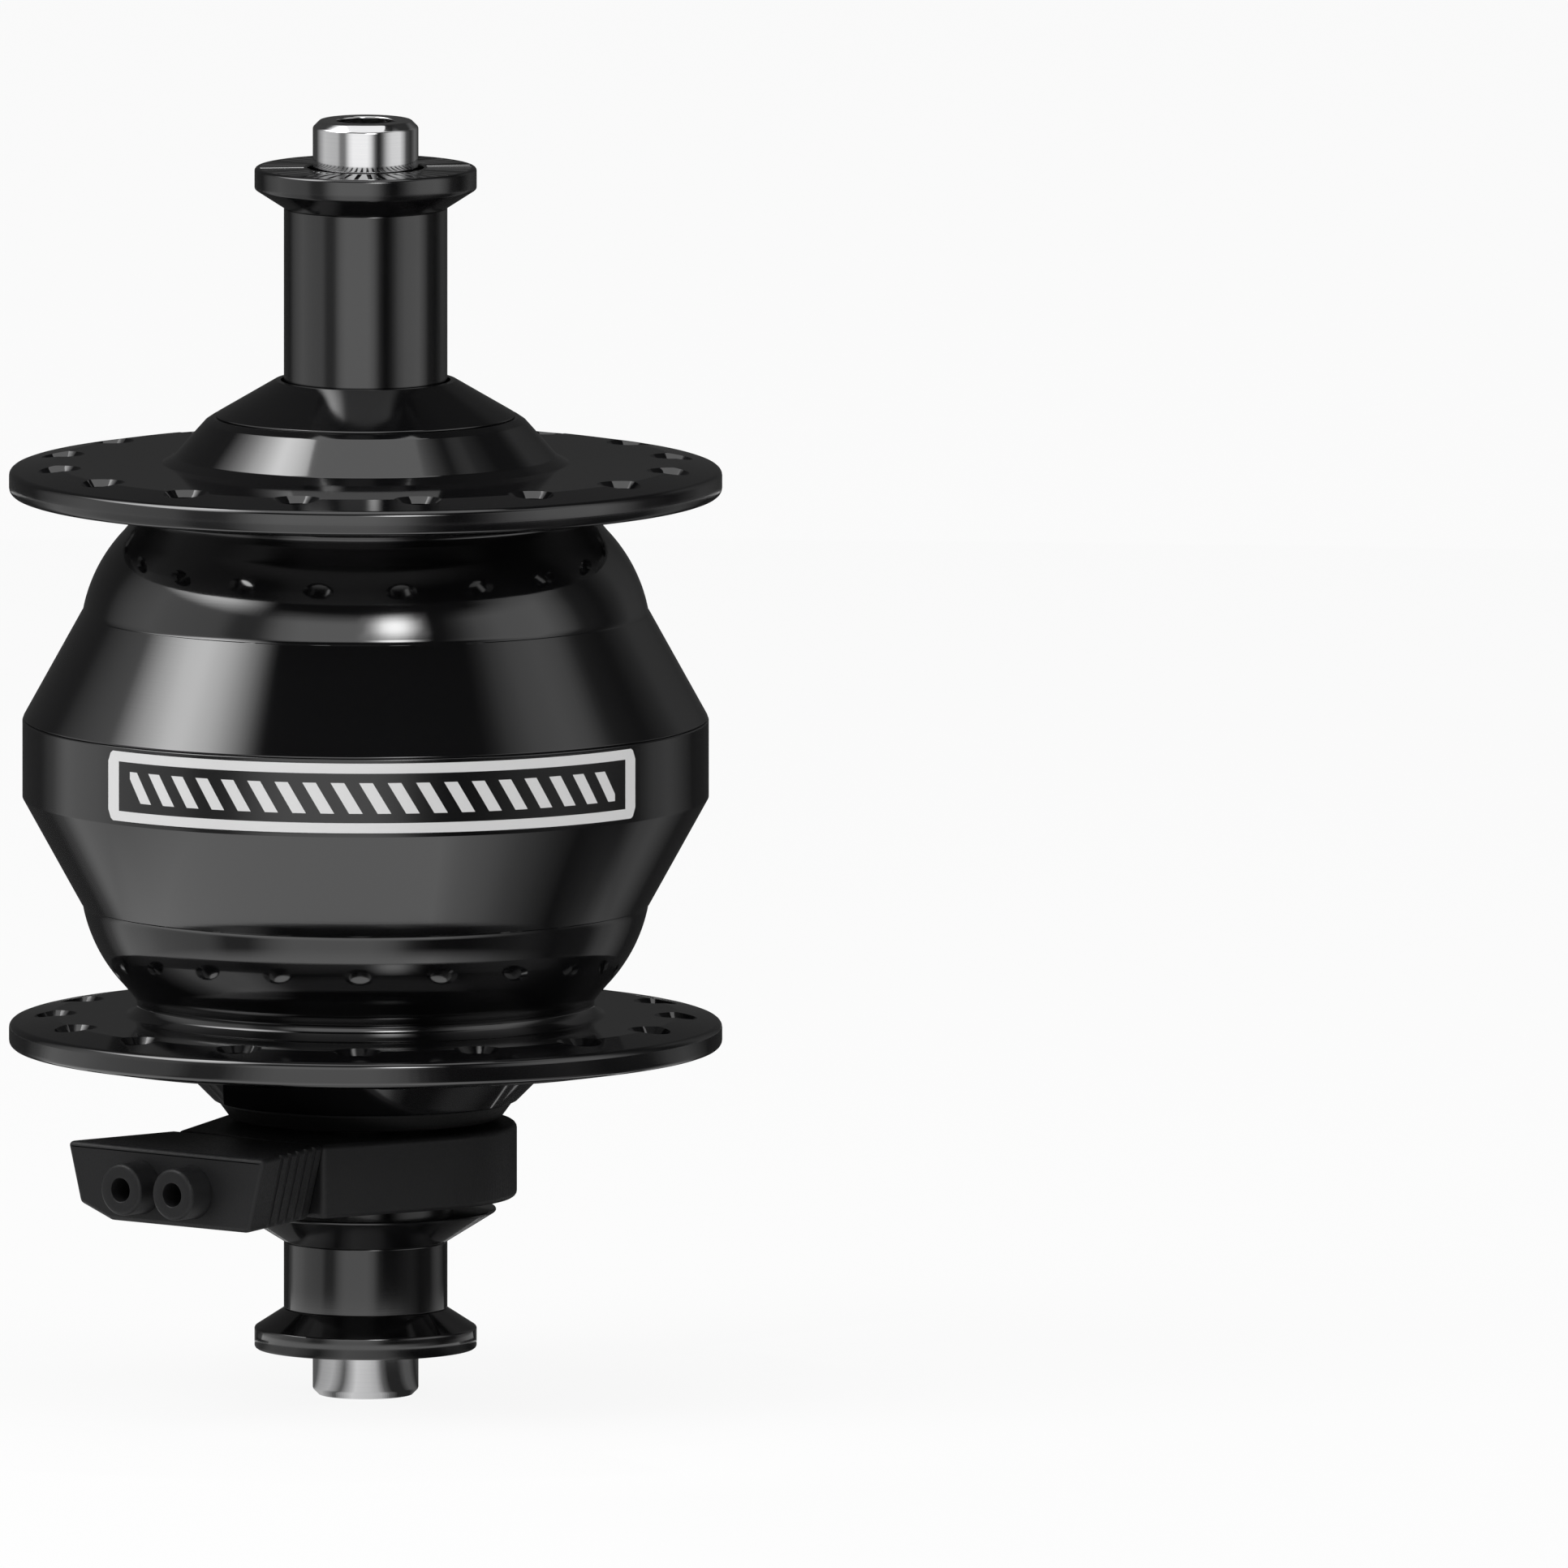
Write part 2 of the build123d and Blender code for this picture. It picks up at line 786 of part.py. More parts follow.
NODES = {
    "axle": axle(),
    "right_locknut": locknut(1),
    "left_locknut": locknut(-1),
    "right_spacer": right_spacer(),
    "left_spacer": left_spacer(),
    "left_cone_spacer": left_cone_spacer(),
    "right_inner_race": inner_race(1),
    "left_inner_race": inner_race(-1),
    "stator_core": stator_core(),
    "right_claw_ring": claw_ring(1),
    "left_claw_ring": claw_ring(-1),
    "coil_bobbin": coil_bobbin(),
    "coil_winding": coil_winding(),
    "stator_nut": stator_nut(),
    "lead_wires": lead_wires(),
    "connector_base": connector_base(),
    "terminal_pins": terminal_pins(),
    "hub_shell": hub_shell(),
    "right_shell": right_shell(),
    "joint_gasket": joint_gasket(),
    "flux_ring": flux_ring(),
    "magnets": magnets(),
    "right_outer_race": outer_race(1),
    "left_outer_race": outer_race(-1),
    "right_bearing_shield": bearing_shield(1),
    "left_bearing_shield": bearing_shield(-1),
    "right_dust_cap": right_dust_cap(),
    "right_lip_seal": right_lip_seal(),
    "left_dust_seal": left_dust_seal(),
    "right_ball_set": ball_set(1),
    "right_ball_cage": ball_cage(1),
    "left_ball_set": ball_set(-1),
    "left_ball_cage": ball_cage(-1),
    "plug_housing": plug_housing(),
    "plug_contacts": plug_contacts(),
}

os.makedirs("parts", exist_ok=True)
for name, solid in NODES.items():
    export_step(solid, f"parts/{name}.step")
    print(f"{name}: {len(solid.solids())} solids, {solid.volume:.1f} mm3")
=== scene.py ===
# %% [markdown]
# # A front hub dynamo, dressed for its picture
# The hub stands on one end of its axle. Its CAD solids are the frame: they say where each
# piece is and how it moves. This lesson gives every piece that shows a finer mesh and a real
# finish, and leaves the pieces inside as the CAD made them, with a finish of their own.

import math

import bmesh
import bpy
from mathutils import Matrix, Vector


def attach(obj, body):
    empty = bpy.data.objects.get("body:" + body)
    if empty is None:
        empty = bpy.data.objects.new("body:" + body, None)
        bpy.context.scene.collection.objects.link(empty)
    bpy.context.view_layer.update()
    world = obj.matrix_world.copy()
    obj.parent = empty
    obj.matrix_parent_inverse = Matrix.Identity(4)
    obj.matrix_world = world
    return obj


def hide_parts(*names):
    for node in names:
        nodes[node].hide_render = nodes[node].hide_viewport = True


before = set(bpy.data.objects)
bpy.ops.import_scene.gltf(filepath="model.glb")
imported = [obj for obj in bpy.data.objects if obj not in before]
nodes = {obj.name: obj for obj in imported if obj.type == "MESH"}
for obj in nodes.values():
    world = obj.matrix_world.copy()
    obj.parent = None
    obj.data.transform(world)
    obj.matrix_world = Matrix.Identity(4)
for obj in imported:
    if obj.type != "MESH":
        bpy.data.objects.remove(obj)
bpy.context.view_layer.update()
MM = 0.001  # Blender works in metres and the sizes below are in millimetres

# %% [markdown]
# ## Colours and nodes
# A colour is easiest to judge as the sRGB hex value that a screen shows, but shaders add up
# light, so they need linear numbers. One function turns hex to linear, and every colour goes
# through it. One more function adds a shader node with its settings and links, so that a
# material reads as a short list of what feeds what. The last two mix a colour from two and end
# a patterned finish with its colour and its bump.


# %% Colour and node helpers
def linear(hex_colour):
    """sRGB hex to linear red, green, blue and full opacity."""
    channels = [int(hex_colour[i:i + 2], 16) / 255 for i in (1, 3, 5)]
    return [c / 12.92 if c <= 0.04045 else ((c + 0.055) / 1.055) ** 2.4 for c in channels] + [1.0]


def add_node(tree, kind, settings=None, **inputs):
    """A node of one kind; settings are its own fields, inputs are values or sockets to link."""
    node = tree.nodes.new(kind)
    for field, value in (settings or {}).items():
        setattr(node, field, value)
    for name, value in inputs.items():
        key = name.replace("_", " ") if not name.startswith("in") else int(name[2:])
        socket = node.inputs[key]
        if isinstance(value, bpy.types.NodeSocket):
            tree.links.new(value, socket)
        else:
            socket.default_value = value
    return node


def new_material(name, **shader_values):
    """An empty material with one Principled shader: returns material, tree and shader."""
    material = bpy.data.materials.new(name)
    material.use_nodes = True
    tree = material.node_tree
    shader = tree.nodes["Principled BSDF"]
    for key, value in shader_values.items():
        shader.inputs[key.replace("_", " ")].default_value = value
    return material, tree, shader


def mixed(tree, tone, colours):
    """Socket with a colour between two hex colours; a tone from 0 to 1 says how far."""
    shade = add_node(
        tree, "ShaderNodeMixRGB", Fac=tone, Color1=linear(colours[0]), Color2=linear(colours[1]),
    )
    return shade.outputs[0]


def colour_and_bump(tree, shader, tone, colours, relief, depth, strength):
    """Gives a shader its mixed colour and the bump of a relief, with its depth in mm."""
    bump = add_node(
        tree, "ShaderNodeBump", Height=relief, Distance=depth * MM, Strength=strength,
    )
    tree.links.new(mixed(tree, tone, colours), shader.inputs["Base Color"])
    tree.links.new(bump.outputs[0], shader.inputs["Normal"])


print("black in linear light:", [round(c, 4) for c in linear("#0b0b0c")])

# %% [markdown]
# ## Turned metal
# Most of this hub comes off a lathe. A cutting tool leaves fine rings round the axle, and
# polishing leaves them just deep enough to stretch a highlight. The rings depend only on the
# distance from the axle and the height along it, so those two numbers are the texture
# coordinates, and the same finish works on a tube, a cone or a flat face.
#
# The marks are really about 0.05 mm apart. That is finer than a pixel here, so they are drawn
# 0.12 to 0.2 mm apart, and very shallow. Over them lie broad, faint patches that hands leave,
# where the gloss is a little duller.


# %% Finish of turned pieces
HANDLING_PATCH = 9  # size of the duller patches, in mm


def turned_finish(name, colours, pitch, depth, rough, **shader_values):
    """Metal with turning rings round Z, their pitch and depth in mm; rough is (least, most)."""
    material, tree, shader = new_material(name, **shader_values)
    place = add_node(tree, "ShaderNodeTexCoord").outputs["Object"]
    parts = add_node(tree, "ShaderNodeSeparateXYZ", Vector=place)
    flat = add_node(tree, "ShaderNodeCombineXYZ", X=parts.outputs["X"], Y=parts.outputs["Y"])
    radius = add_node(tree, "ShaderNodeVectorMath", {"operation": "LENGTH"}, in0=flat.outputs[0])
    ring = add_node(tree, "ShaderNodeCombineXYZ", X=radius.outputs["Value"], Z=parts.outputs["Z"])
    rings = add_node(
        tree, "ShaderNodeTexNoise", in0=ring.outputs[0], Scale=1 / (pitch * MM), Detail=2.0,
    )
    handling = add_node(
        tree, "ShaderNodeTexNoise", in0=place, Scale=1 / (HANDLING_PATCH * MM), Detail=4.0,
    )
    gloss = add_node(
        tree, "ShaderNodeMapRange", Value=handling.outputs["Fac"],
        From_Min=0.35, From_Max=0.7, To_Min=rough[0], To_Max=rough[1],
    )
    tree.links.new(gloss.outputs[0], shader.inputs["Roughness"])
    ring_tone = rings.outputs["Fac"]
    colour_and_bump(tree, shader, ring_tone, colours, ring_tone, depth, strength=0.4)
    return material


# Black anodised aluminium: the dye sits in a clear oxide layer of IOR about 1.85, so the eye
# sees a black ground under a clear gloss, not a metal.
OXIDE_IOR = 1.85
black_anodised = turned_finish(
    "black anodised aluminium, polished", ("#0a0a0b", "#0e0e0f"),
    pitch=0.12, depth=0.002, rough=(0.06, 0.09), IOR=OXIDE_IOR,
)
black_spacer = turned_finish(
    "black anodised aluminium, turned tube", ("#0a0a0b", "#101011"),
    pitch=0.16, depth=0.002, rough=(0.07, 0.11), IOR=OXIDE_IOR,
)
polished_steel = turned_finish(
    "nickel plated steel, polished", ("#e6e6e8", "#f0f0f0"),
    pitch=0.14, depth=0.001, rough=(0.06, 0.11), Metallic=1.0,
)
ground_steel = turned_finish(
    "bearing steel, ground", ("#a2a3a6", "#b6b7b9"),
    pitch=0.2, depth=0.002, rough=(0.16, 0.26), Metallic=1.0,
)
print("turned finishes:", black_anodised.name, "|", polished_steel.name)

# %% [markdown]
# ## Moulded plastic and rubber
# The connector and the plug are moulded nylon. The mould is spark eroded, which leaves a fine
# grain of about 0.15 mm that breaks up every reflection into a soft sheen. Rubber is close to
# it, darker and rougher. The same function makes both, and the inner plastic, iron, ferrite,
# zinc and brass too, each with its own grain and gloss.


# %% Finish of moulded, stamped and sintered pieces
SHADE_PATCH = 6  # size of the patches of lighter and darker shade, in mm


def grained_finish(name, colours, grain, depth, rough, **shader_values):
    """A surface with an even grain, its size and depth in mm; rough is (least, most)."""
    material, tree, shader = new_material(name, **shader_values)
    place = add_node(tree, "ShaderNodeTexCoord").outputs["Object"]
    fine = add_node(tree, "ShaderNodeTexNoise", in0=place, Scale=1 / (grain * MM), Detail=3.0)
    broad = add_node(
        tree, "ShaderNodeTexNoise", in0=place, Scale=1 / (SHADE_PATCH * MM), Detail=3.0,
    )
    gloss = add_node(
        tree, "ShaderNodeMapRange", Value=fine.outputs["Fac"],
        From_Min=0.3, From_Max=0.7, To_Min=rough[0], To_Max=rough[1],
    )
    tree.links.new(gloss.outputs[0], shader.inputs["Roughness"])
    tone, relief = broad.outputs["Fac"], fine.outputs["Fac"]
    colour_and_bump(tree, shader, tone, colours, relief, depth, strength=0.7)
    return material


black_nylon = grained_finish(
    "black nylon, moulded with a fine grain", ("#161617", "#1b1b1c"),
    grain=0.16, depth=0.02, rough=(0.4, 0.55), IOR=1.53, Specular_IOR_Level=0.3,
)
black_rubber = grained_finish(
    "black nitrile rubber", ("#0c0c0c", "#101010"),
    grain=0.2, depth=0.015, rough=(0.55, 0.7), IOR=1.52, Specular_IOR_Level=0.3,
)
natural_nylon = grained_finish(
    "natural nylon, moulded", ("#cfc6ac", "#d8d0b8"),
    grain=0.3, depth=0.01, rough=(0.4, 0.5), IOR=1.53,
)
stamped_iron = grained_finish(
    "soft iron, stamped", ("#6d6b69", "#7d7b78"),
    grain=0.4, depth=0.008, rough=(0.35, 0.5), Metallic=1.0,
)
sintered_ferrite = grained_finish(
    "ferrite, sintered", ("#2b2b2d", "#353537"), grain=0.25, depth=0.01, rough=(0.45, 0.6),
)
zinc_plate = grained_finish(
    "steel, zinc plated", ("#a9abab", "#bcbdb9"),
    grain=0.5, depth=0.004, rough=(0.25, 0.38), Metallic=1.0,
)
brass = grained_finish(
    "brass, drawn", ("#b9975a", "#c9a86a"),
    grain=0.3, depth=0.003, rough=(0.22, 0.32), Metallic=1.0,
)
print("grained finishes:", black_nylon.name, "|", black_rubber.name)

# %% [markdown]
# ## Wound copper
# The winding is hundreds of turns of enamelled wire about 0.45 mm thick, laid side by side
# round the bobbin. A wave along the axle, with its crests one wire apart, gives the turns their
# bump, and the same wave paints the copper darker in the grooves between turns and lighter on
# the crests: painted shade and painted highlight. The enamel gives copper a warm, clear gloss.

# %% Finish of the winding
copper, copper_tree, copper_shader = new_material(
    "copper wire, enamelled", Metallic=1.0, Roughness=0.28, Coat_Weight=0.5, Coat_Roughness=0.1,
)
WIRE = 0.45  # thickness of the wire with its enamel, in mm
WAVE_FACTOR = 20  # the wave texture multiplies its scale by this, in radians
copper_place = add_node(copper_tree, "ShaderNodeTexCoord").outputs["Object"]
copper_turns = add_node(
    copper_tree, "ShaderNodeTexWave", {"bands_direction": "Z", "wave_profile": "SIN"},
    in0=copper_place, Scale=math.tau / (WAVE_FACTOR * WIRE * MM), Distortion=0.3,
)
turn_relief_and_painted_shade = copper_turns.outputs["Fac"]
# painted shade in the grooves between the turns and a painted highlight on their crests: the colour
# follows the bump
colour_and_bump(
    copper_tree, copper_shader, turn_relief_and_painted_shade, ("#7a3f1d", "#c47b48"), turn_relief_and_painted_shade,
    depth=0.1, strength=0.8,
)
print("one turn of wire every", WIRE, "mm")

# %% [markdown]
# ## Give every CAD node its finish
# The pieces inside keep their CAD meshes, because nothing but a cut would show them. Each one
# still gets the finish of what it is really made of, for whoever takes the part apart.

# %% Finishes of the CAD nodes
cad_finishes = {
    polished_steel: ["axle"],
    black_spacer: [
        "right_locknut", "left_locknut", "right_spacer", "left_spacer", "left_cone_spacer",
    ],
    black_anodised: ["hub_shell", "right_shell", "right_dust_cap"],
    ground_steel: [
        "right_inner_race", "left_inner_race", "right_outer_race", "left_outer_race",
        "right_ball_set", "left_ball_set", "right_bearing_shield", "left_bearing_shield",
    ],
    natural_nylon: ["right_ball_cage", "left_ball_cage", "coil_bobbin"],
    stamped_iron: ["stator_core", "right_claw_ring", "left_claw_ring", "flux_ring"],
    zinc_plate: ["stator_nut"],
    copper: ["coil_winding", "lead_wires"],
    sintered_ferrite: ["magnets"],
    black_nylon: ["connector_base", "plug_housing"],
    brass: ["terminal_pins", "plug_contacts"],
    black_rubber: ["joint_gasket", "right_lip_seal", "left_dust_seal"],
}
for finish, names in cad_finishes.items():
    for name in names:
        nodes[name].data.materials.clear()
        nodes[name].data.materials.append(finish)
print(sum(len(names) for names in cad_finishes.values()), "CAD nodes have a finish")

# %% [markdown]
# ## A lathe in code
# A turned piece is an outline swept round the axle. The outline is a closed list of
# (radius, height) corners, and a corner can name a fillet radius: no machined edge is
# perfectly sharp, and the thin bright line along a rounded edge is what tells the eye that the
# metal is real. The mesh has 192 steps round, so that its silhouette stays smooth close up.
#
# Smooth shading would round the flat faces too. So edges that turn by more than 35 degrees are
# marked sharp, and a Weighted Normal modifier lets the large faces decide the shading.


# %% Outline and lathe helpers
ROUND_STEPS = 192
SHARP_ANGLE = 35  # degrees between two faces
STRAIGHT_ANGLE = 176  # degrees: a corner flatter than this gets no fillet
LONGEST_REACH = 0.45  # a fillet takes at most this share of an edge


def rounded(corners, steps=4):
    """The outline with each corner (radius, height, fillet) replaced by an arc."""
    points = []
    for i, corner in enumerate(corners):
        here = Vector(corner[:2])
        fillet = corner[2] if len(corner) > 2 else 0
        before = Vector(corners[i - 1][:2]) - here
        after = Vector(corners[(i + 1) % len(corners)][:2]) - here
        turn = before.angle(after)
        if not fillet or turn > math.radians(STRAIGHT_ANGLE):
            points.append(here)
            continue
        longest = LONGEST_REACH * min(before.length, after.length)
        reach = min(fillet / math.tan(turn / 2), longest)
        middle = (before.normalized() + after.normalized()).normalized()
        centre = here + middle * reach / math.cos(turn / 2)
        start = here + before.normalized() * reach - centre
        swing = (here + after.normalized() * reach - centre).angle_signed(start)
        points += [centre + Matrix.Rotation(swing * k / steps, 2) @ start for k in range(steps + 1)]
    return points


def at_end(corners, side):
    """The corners as they are (side 1), or mirrored to the other end of the axle (side -1)."""
    return [(corner[0], side * corner[1], *corner[2:]) for corner in corners]


def shade_by_angle(mesh):
    """Smooth faces, with a sharp mark where two faces turn by more than the sharp angle."""
    work = bmesh.new()
    work.from_mesh(mesh)
    bmesh.ops.recalc_face_normals(work, faces=work.faces)
    for face in work.faces:
        face.smooth = True
    for edge in work.edges:
        soft = edge.calc_face_angle(0) < math.radians(SHARP_ANGLE)
        edge.smooth = len(edge.link_faces) == 2 and soft
    work.to_mesh(mesh)
    work.free()


def new_object(name, work, finish):
    """A scene object from a bmesh in millimetres."""
    mesh = bpy.data.meshes.new(name)
    bmesh.ops.scale(work, vec=(MM, MM, MM), verts=work.verts)
    work.to_mesh(mesh)
    work.free()
    piece = bpy.data.objects.new(name, mesh)
    bpy.context.scene.collection.objects.link(piece)
    mesh.materials.append(finish)
    return piece


def sweep_round(work, outline, steps=ROUND_STEPS, place=Matrix.Identity(4)):
    """Sweeps a closed outline of (radius, height) points round Z into the bmesh."""
    rings = []
    for k in range(steps):
        angle = math.tau * k / steps
        rings.append([
            work.verts.new(place @ Vector((p[0] * math.cos(angle), p[0] * math.sin(angle), p[1])))
            for p in outline
        ])
    for k in range(steps):
        here, following = rings[k], rings[(k + 1) % steps]
        for i in range(len(outline)):
            j = (i + 1) % len(outline)
            work.faces.new((here[i], here[j], following[j], following[i]))


def stack(work, layers):
    """Joins layers of equal point counts into a closed shape: each is a list of 3D points."""
    rings = [[work.verts.new(p) for p in layer] for layer in layers]
    for low, high in zip(rings, rings[1:]):
        for i in range(len(low)):
            j = (i + 1) % len(low)
            work.faces.new((low[i], low[j], high[j], high[i]))
    work.faces.new(rings[0])
    work.faces.new(rings[-1])


def add_rod(work, radius, length, place, steps=64):
    """Adds a closed rod, which lies along Z until it is placed, to the bmesh."""
    bmesh.ops.create_cone(
        work, cap_ends=True, segments=steps, radius1=radius, radius2=radius, depth=length,
        matrix=place,
    )


def lathe(name, corners, finish):
    """A turned piece from its outline of (radius, height, fillet) corners."""
    work = bmesh.new()
    sweep_round(work, rounded(corners))
    return new_object(name, work, finish)


def complete(piece, body, slot, *replaced):
    """Shades the piece, hangs it on its CAD body and lets it stand for CAD nodes."""
    shade_by_angle(piece.data)
    normals = piece.modifiers.new("even shading", "WEIGHTED_NORMAL")
    normals.keep_sharp = True
    normals.weight = 80  # towards the large faces: 50 would be even
    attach(piece, body)
    if replaced:
        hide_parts(*replaced)
    print(piece.name, len(piece.data.polygons), "faces")


def carve(piece, cutter, operation="DIFFERENCE"):
    """Cuts one mesh with another and throws the cutter away."""
    step = piece.modifiers.new("cut", "BOOLEAN")
    step.operation = operation
    step.solver = "EXACT"
    step.object = cutter
    bpy.context.view_layer.update()
    cut_piece = piece.evaluated_get(bpy.context.evaluated_depsgraph_get())
    made = bpy.data.meshes.new_from_object(cut_piece)
    piece.modifiers.remove(step)
    old = piece.data
    print("  ", piece.name, operation.lower(), len(old.polygons), "->", len(made.polygons), "faces")
    piece.data = made
    bpy.data.meshes.remove(old)
    bpy.data.objects.remove(cutter)


def absorb(piece, other):
    """Adds another closed shell to a piece's mesh, where the two simply run into each other."""
    work = bmesh.new()
    work.from_mesh(piece.data)
    work.from_mesh(other.data)
    work.to_mesh(piece.data)
    work.free()
    bpy.data.objects.remove(other)


sample = rounded([(5, 0, 1), (9, 0), (9, 4)])[:5]
print("outline of a 1 mm fillet:", [tuple(round(c, 2) for c in p) for p in sample])

# %% [markdown]
# ## The two halves of the shell
# The shell is turned in two halves, screwed together at one edge of the centre band. From
# the band a cone falls away to a small step, then a full round shoulder runs down to the neck
# under the flange. Each flange is thickest at the spoke holes and thins out to a rounded rim.
# Heights are for the plain half, and the connector half is its mirror image.

# %% Outlines of the shell
BAND_RADIUS, BAND_HALF = 28.87, 3.3  # the centre band, and half its height
BREAK = 0.12  # fillet of the band's edges
SPOKE_CIRCLE = 26.25
FLANGE_RADIUS = 30.0
FLANGE_IN, FLANGE_OUT = 21.75, 25.0  # faces of a flange at the spoke holes
BOSS_END = 28.9
CHAMBER = 25.12  # radius inside both halves, under the band
SOCKET, SPIGOT = 26.27, 26.25  # the left half runs into the right one at the joint
SHOULDER_STEPS = 18


def shoulder():
    """Points along the round shoulder, from the small step to the neck: an arc through three."""
    a, b, c = Vector((23.8, 12.4)), Vector((22.7, 15.75)), Vector((20.4, 19.05))
    aa, bb, cc = a.length_squared, b.length_squared, c.length_squared
    divisor = 2 * (a.x * (b.y - c.y) + b.x * (c.y - a.y) + c.x * (a.y - b.y))
    centre = Vector((
        (aa * (b.y - c.y) + bb * (c.y - a.y) + cc * (a.y - b.y)) / divisor,
        (aa * (c.x - b.x) + bb * (a.x - c.x) + cc * (b.x - a.x)) / divisor,
    ))
    start, end = a - centre, c - centre
    swing = end.angle_signed(start)
    turns = [Matrix.Rotation(swing * k / SHOULDER_STEPS, 2) for k in range(SHOULDER_STEPS + 1)]
    return [tuple(centre + turn @ start) for turn in turns]


outer_run = [
    (BAND_RADIUS, BAND_HALF, BREAK),
    (23.9, 12.3, 0.1),
    *shoulder(),
    (19.0, 20.75, 0.9),
    (20.0, FLANGE_IN, 0.7),
    (SPOKE_CIRCLE, FLANGE_IN, 1.5),
    (FLANGE_RADIUS, 22.4, 0.55),
    (FLANGE_RADIUS, 24.35, 0.55),
    (SPOKE_CIRCLE, FLANGE_OUT, 1.5),
]
right_boss = [(17.1, FLANGE_OUT, 0.3), (16.1, 25.6, 0.5), (13.5, 28.5, 0.5), (12.9, BOSS_END, 0.1)]
left_boss = [(16.7, FLANGE_OUT, 0.4), (12.8, BOSS_END, 0.25)]
inner_run = [
    (12.0, BOSS_END), (12.0, 21.3), (10.8, 21.3), (10.8, 20.3), (14.5, 20.3), (21.2, 14.0),
    (21.9, 12.0), (21.9, 7.0), (CHAMBER, 7.0),
]
print("shoulder runs through", len(shoulder()), "points")

# %% [markdown]
# ## Spoke holes
# Each flange has sixteen holes for spokes with bent heads. The holes are countersunk on both
# faces, so that the elbow of a spoke beds in without being nicked. One cutter for all sixteen
# holes is quicker than sixteen cuts. The holes of one flange stand half a step round from those
# of the other, so that the spokes can cross.


# %% Build both halves
SPOKE_HOLES, HOLE_RADIUS = 16, 1.38
SINK_DEPTH, SINK_RADIUS = 0.55, 2.9  # the cutter reaches this radius just outside the flange
HOLE_STEPS = 32


def spoke_cutter(side, first_angle):
    """One mesh with the sixteen countersunk hole cutters of a flange."""
    middle = (FLANGE_IN + FLANGE_OUT) / 2
    half = (FLANGE_OUT - FLANGE_IN) / 2
    profile = [
        (SINK_RADIUS, -half - 1), (SINK_RADIUS, -half - 0.8), (HOLE_RADIUS, -half + SINK_DEPTH),
        (HOLE_RADIUS, half - SINK_DEPTH), (SINK_RADIUS, half + 0.8), (SINK_RADIUS, half + 1),
    ]
    round_about = [math.tau * step / HOLE_STEPS for step in range(HOLE_STEPS)]
    work = bmesh.new()
    for k in range(SPOKE_HOLES):
        turn = math.radians(first_angle + 360 / SPOKE_HOLES * k)
        x, y = SPOKE_CIRCLE * math.cos(turn), SPOKE_CIRCLE * math.sin(turn)
        stack(work, [
            [(x + r * math.cos(a), y + r * math.sin(a), side * (middle + h)) for a in round_about]
            for r, h in profile
        ])
    bmesh.ops.recalc_face_normals(work, faces=work.faces)
    return new_object("spoke hole cutter", work, black_anodised)


right_corners = [
    *outer_run, *right_boss, *inner_run, (CHAMBER, 6.0), (SOCKET, 6.0), (SOCKET, BAND_HALF),
]
right_shell = lathe("right_shell_turned", right_corners, black_anodised)
carve(right_shell, spoke_cutter(side=1, first_angle=4.0))
complete(right_shell, "shell", "black_shell", "right_shell")

left_corners = [
    *outer_run, *left_boss, *inner_run,
    (CHAMBER, -5.6), (SPIGOT, -5.6), (SPIGOT, -BAND_HALF), (BAND_RADIUS, -BAND_HALF, BREAK),
]
hub_shell = lathe("hub_shell_turned", at_end(left_corners, -1), black_anodised)
carve(hub_shell, spoke_cutter(side=-1, first_angle=15.25))
complete(hub_shell, "shell", "black_shell", "hub_shell")

# %% [markdown]
# ## Caps, spacers and nuts
# On the plain end a turned cap closes the bearing and a polished tube runs out to the locknut.
# At the connector end a black rubber ring closes the boss, and below the connector a turned
# cone leads to a short tube. They are all outlines for the lathe, with edges broken by 0.1 to
# 0.3 mm, as a turner would leave them.

# %% Cap, tubes and cone
AXLE_FIT = 4.52  # bore of what sits on the axle's threaded ends
TUBE_RADIUS = 6.88
SEAT_RADIUS, SEAT_HEIGHT = 11.98, 27.8  # what closes a boss stands this far inside it
RACE_END = 27.3  # where the bearings' inner races end
CONNECTOR_END = 38.1
CONE_END = 40.9
NUT_START = 46.6
SLEEVE_RADIUS, SLEEVE_BORE = 7.4, 6.02
THREAD_START = 39.5  # where the axle's thread starts, inside the cone

right_cap = lathe(
    "right_dust_cap_turned",
    [
        (7.15, SEAT_HEIGHT), (SEAT_RADIUS, SEAT_HEIGHT), (SEAT_RADIUS, BOSS_END),
        (12.9, BOSS_END, 0.12), (7.62, 32.0, 0.12), (7.15, 32.0),
    ],
    black_anodised,
)
complete(right_cap, "shell", "black_shell", "right_dust_cap")

right_tube = lathe(
    "right_spacer_turned",
    [
        (AXLE_FIT, RACE_END), (TUBE_RADIUS, RACE_END, 0.1), (TUBE_RADIUS, NUT_START, 0.12),
        (AXLE_FIT, NUT_START),
    ],
    black_spacer,
)
complete(right_tube, "axle_assembly", "black_turned", "right_spacer")

left_tube = lathe(
    "left_spacer_turned",
    [
        (AXLE_FIT, -CONE_END), (TUBE_RADIUS, -CONE_END, 0.12), (TUBE_RADIUS, -NUT_START, 0.12),
        (AXLE_FIT, -NUT_START),
    ],
    black_spacer,
)
complete(left_tube, "axle_assembly", "black_turned", "left_spacer")

cone = lathe(
    "left_cone_spacer_turned",
    [
        (SLEEVE_BORE, -RACE_END), (SLEEVE_RADIUS, -RACE_END), (SLEEVE_RADIUS, -CONNECTOR_END),
        (11.35, -CONNECTOR_END, 0.15), (TUBE_RADIUS, -CONE_END, 0.15), (AXLE_FIT, -CONE_END),
        (AXLE_FIT, -THREAD_START), (SLEEVE_BORE, -THREAD_START),
    ],
    black_spacer,
)
complete(cone, "axle_assembly", "black_turned", "left_cone_spacer")

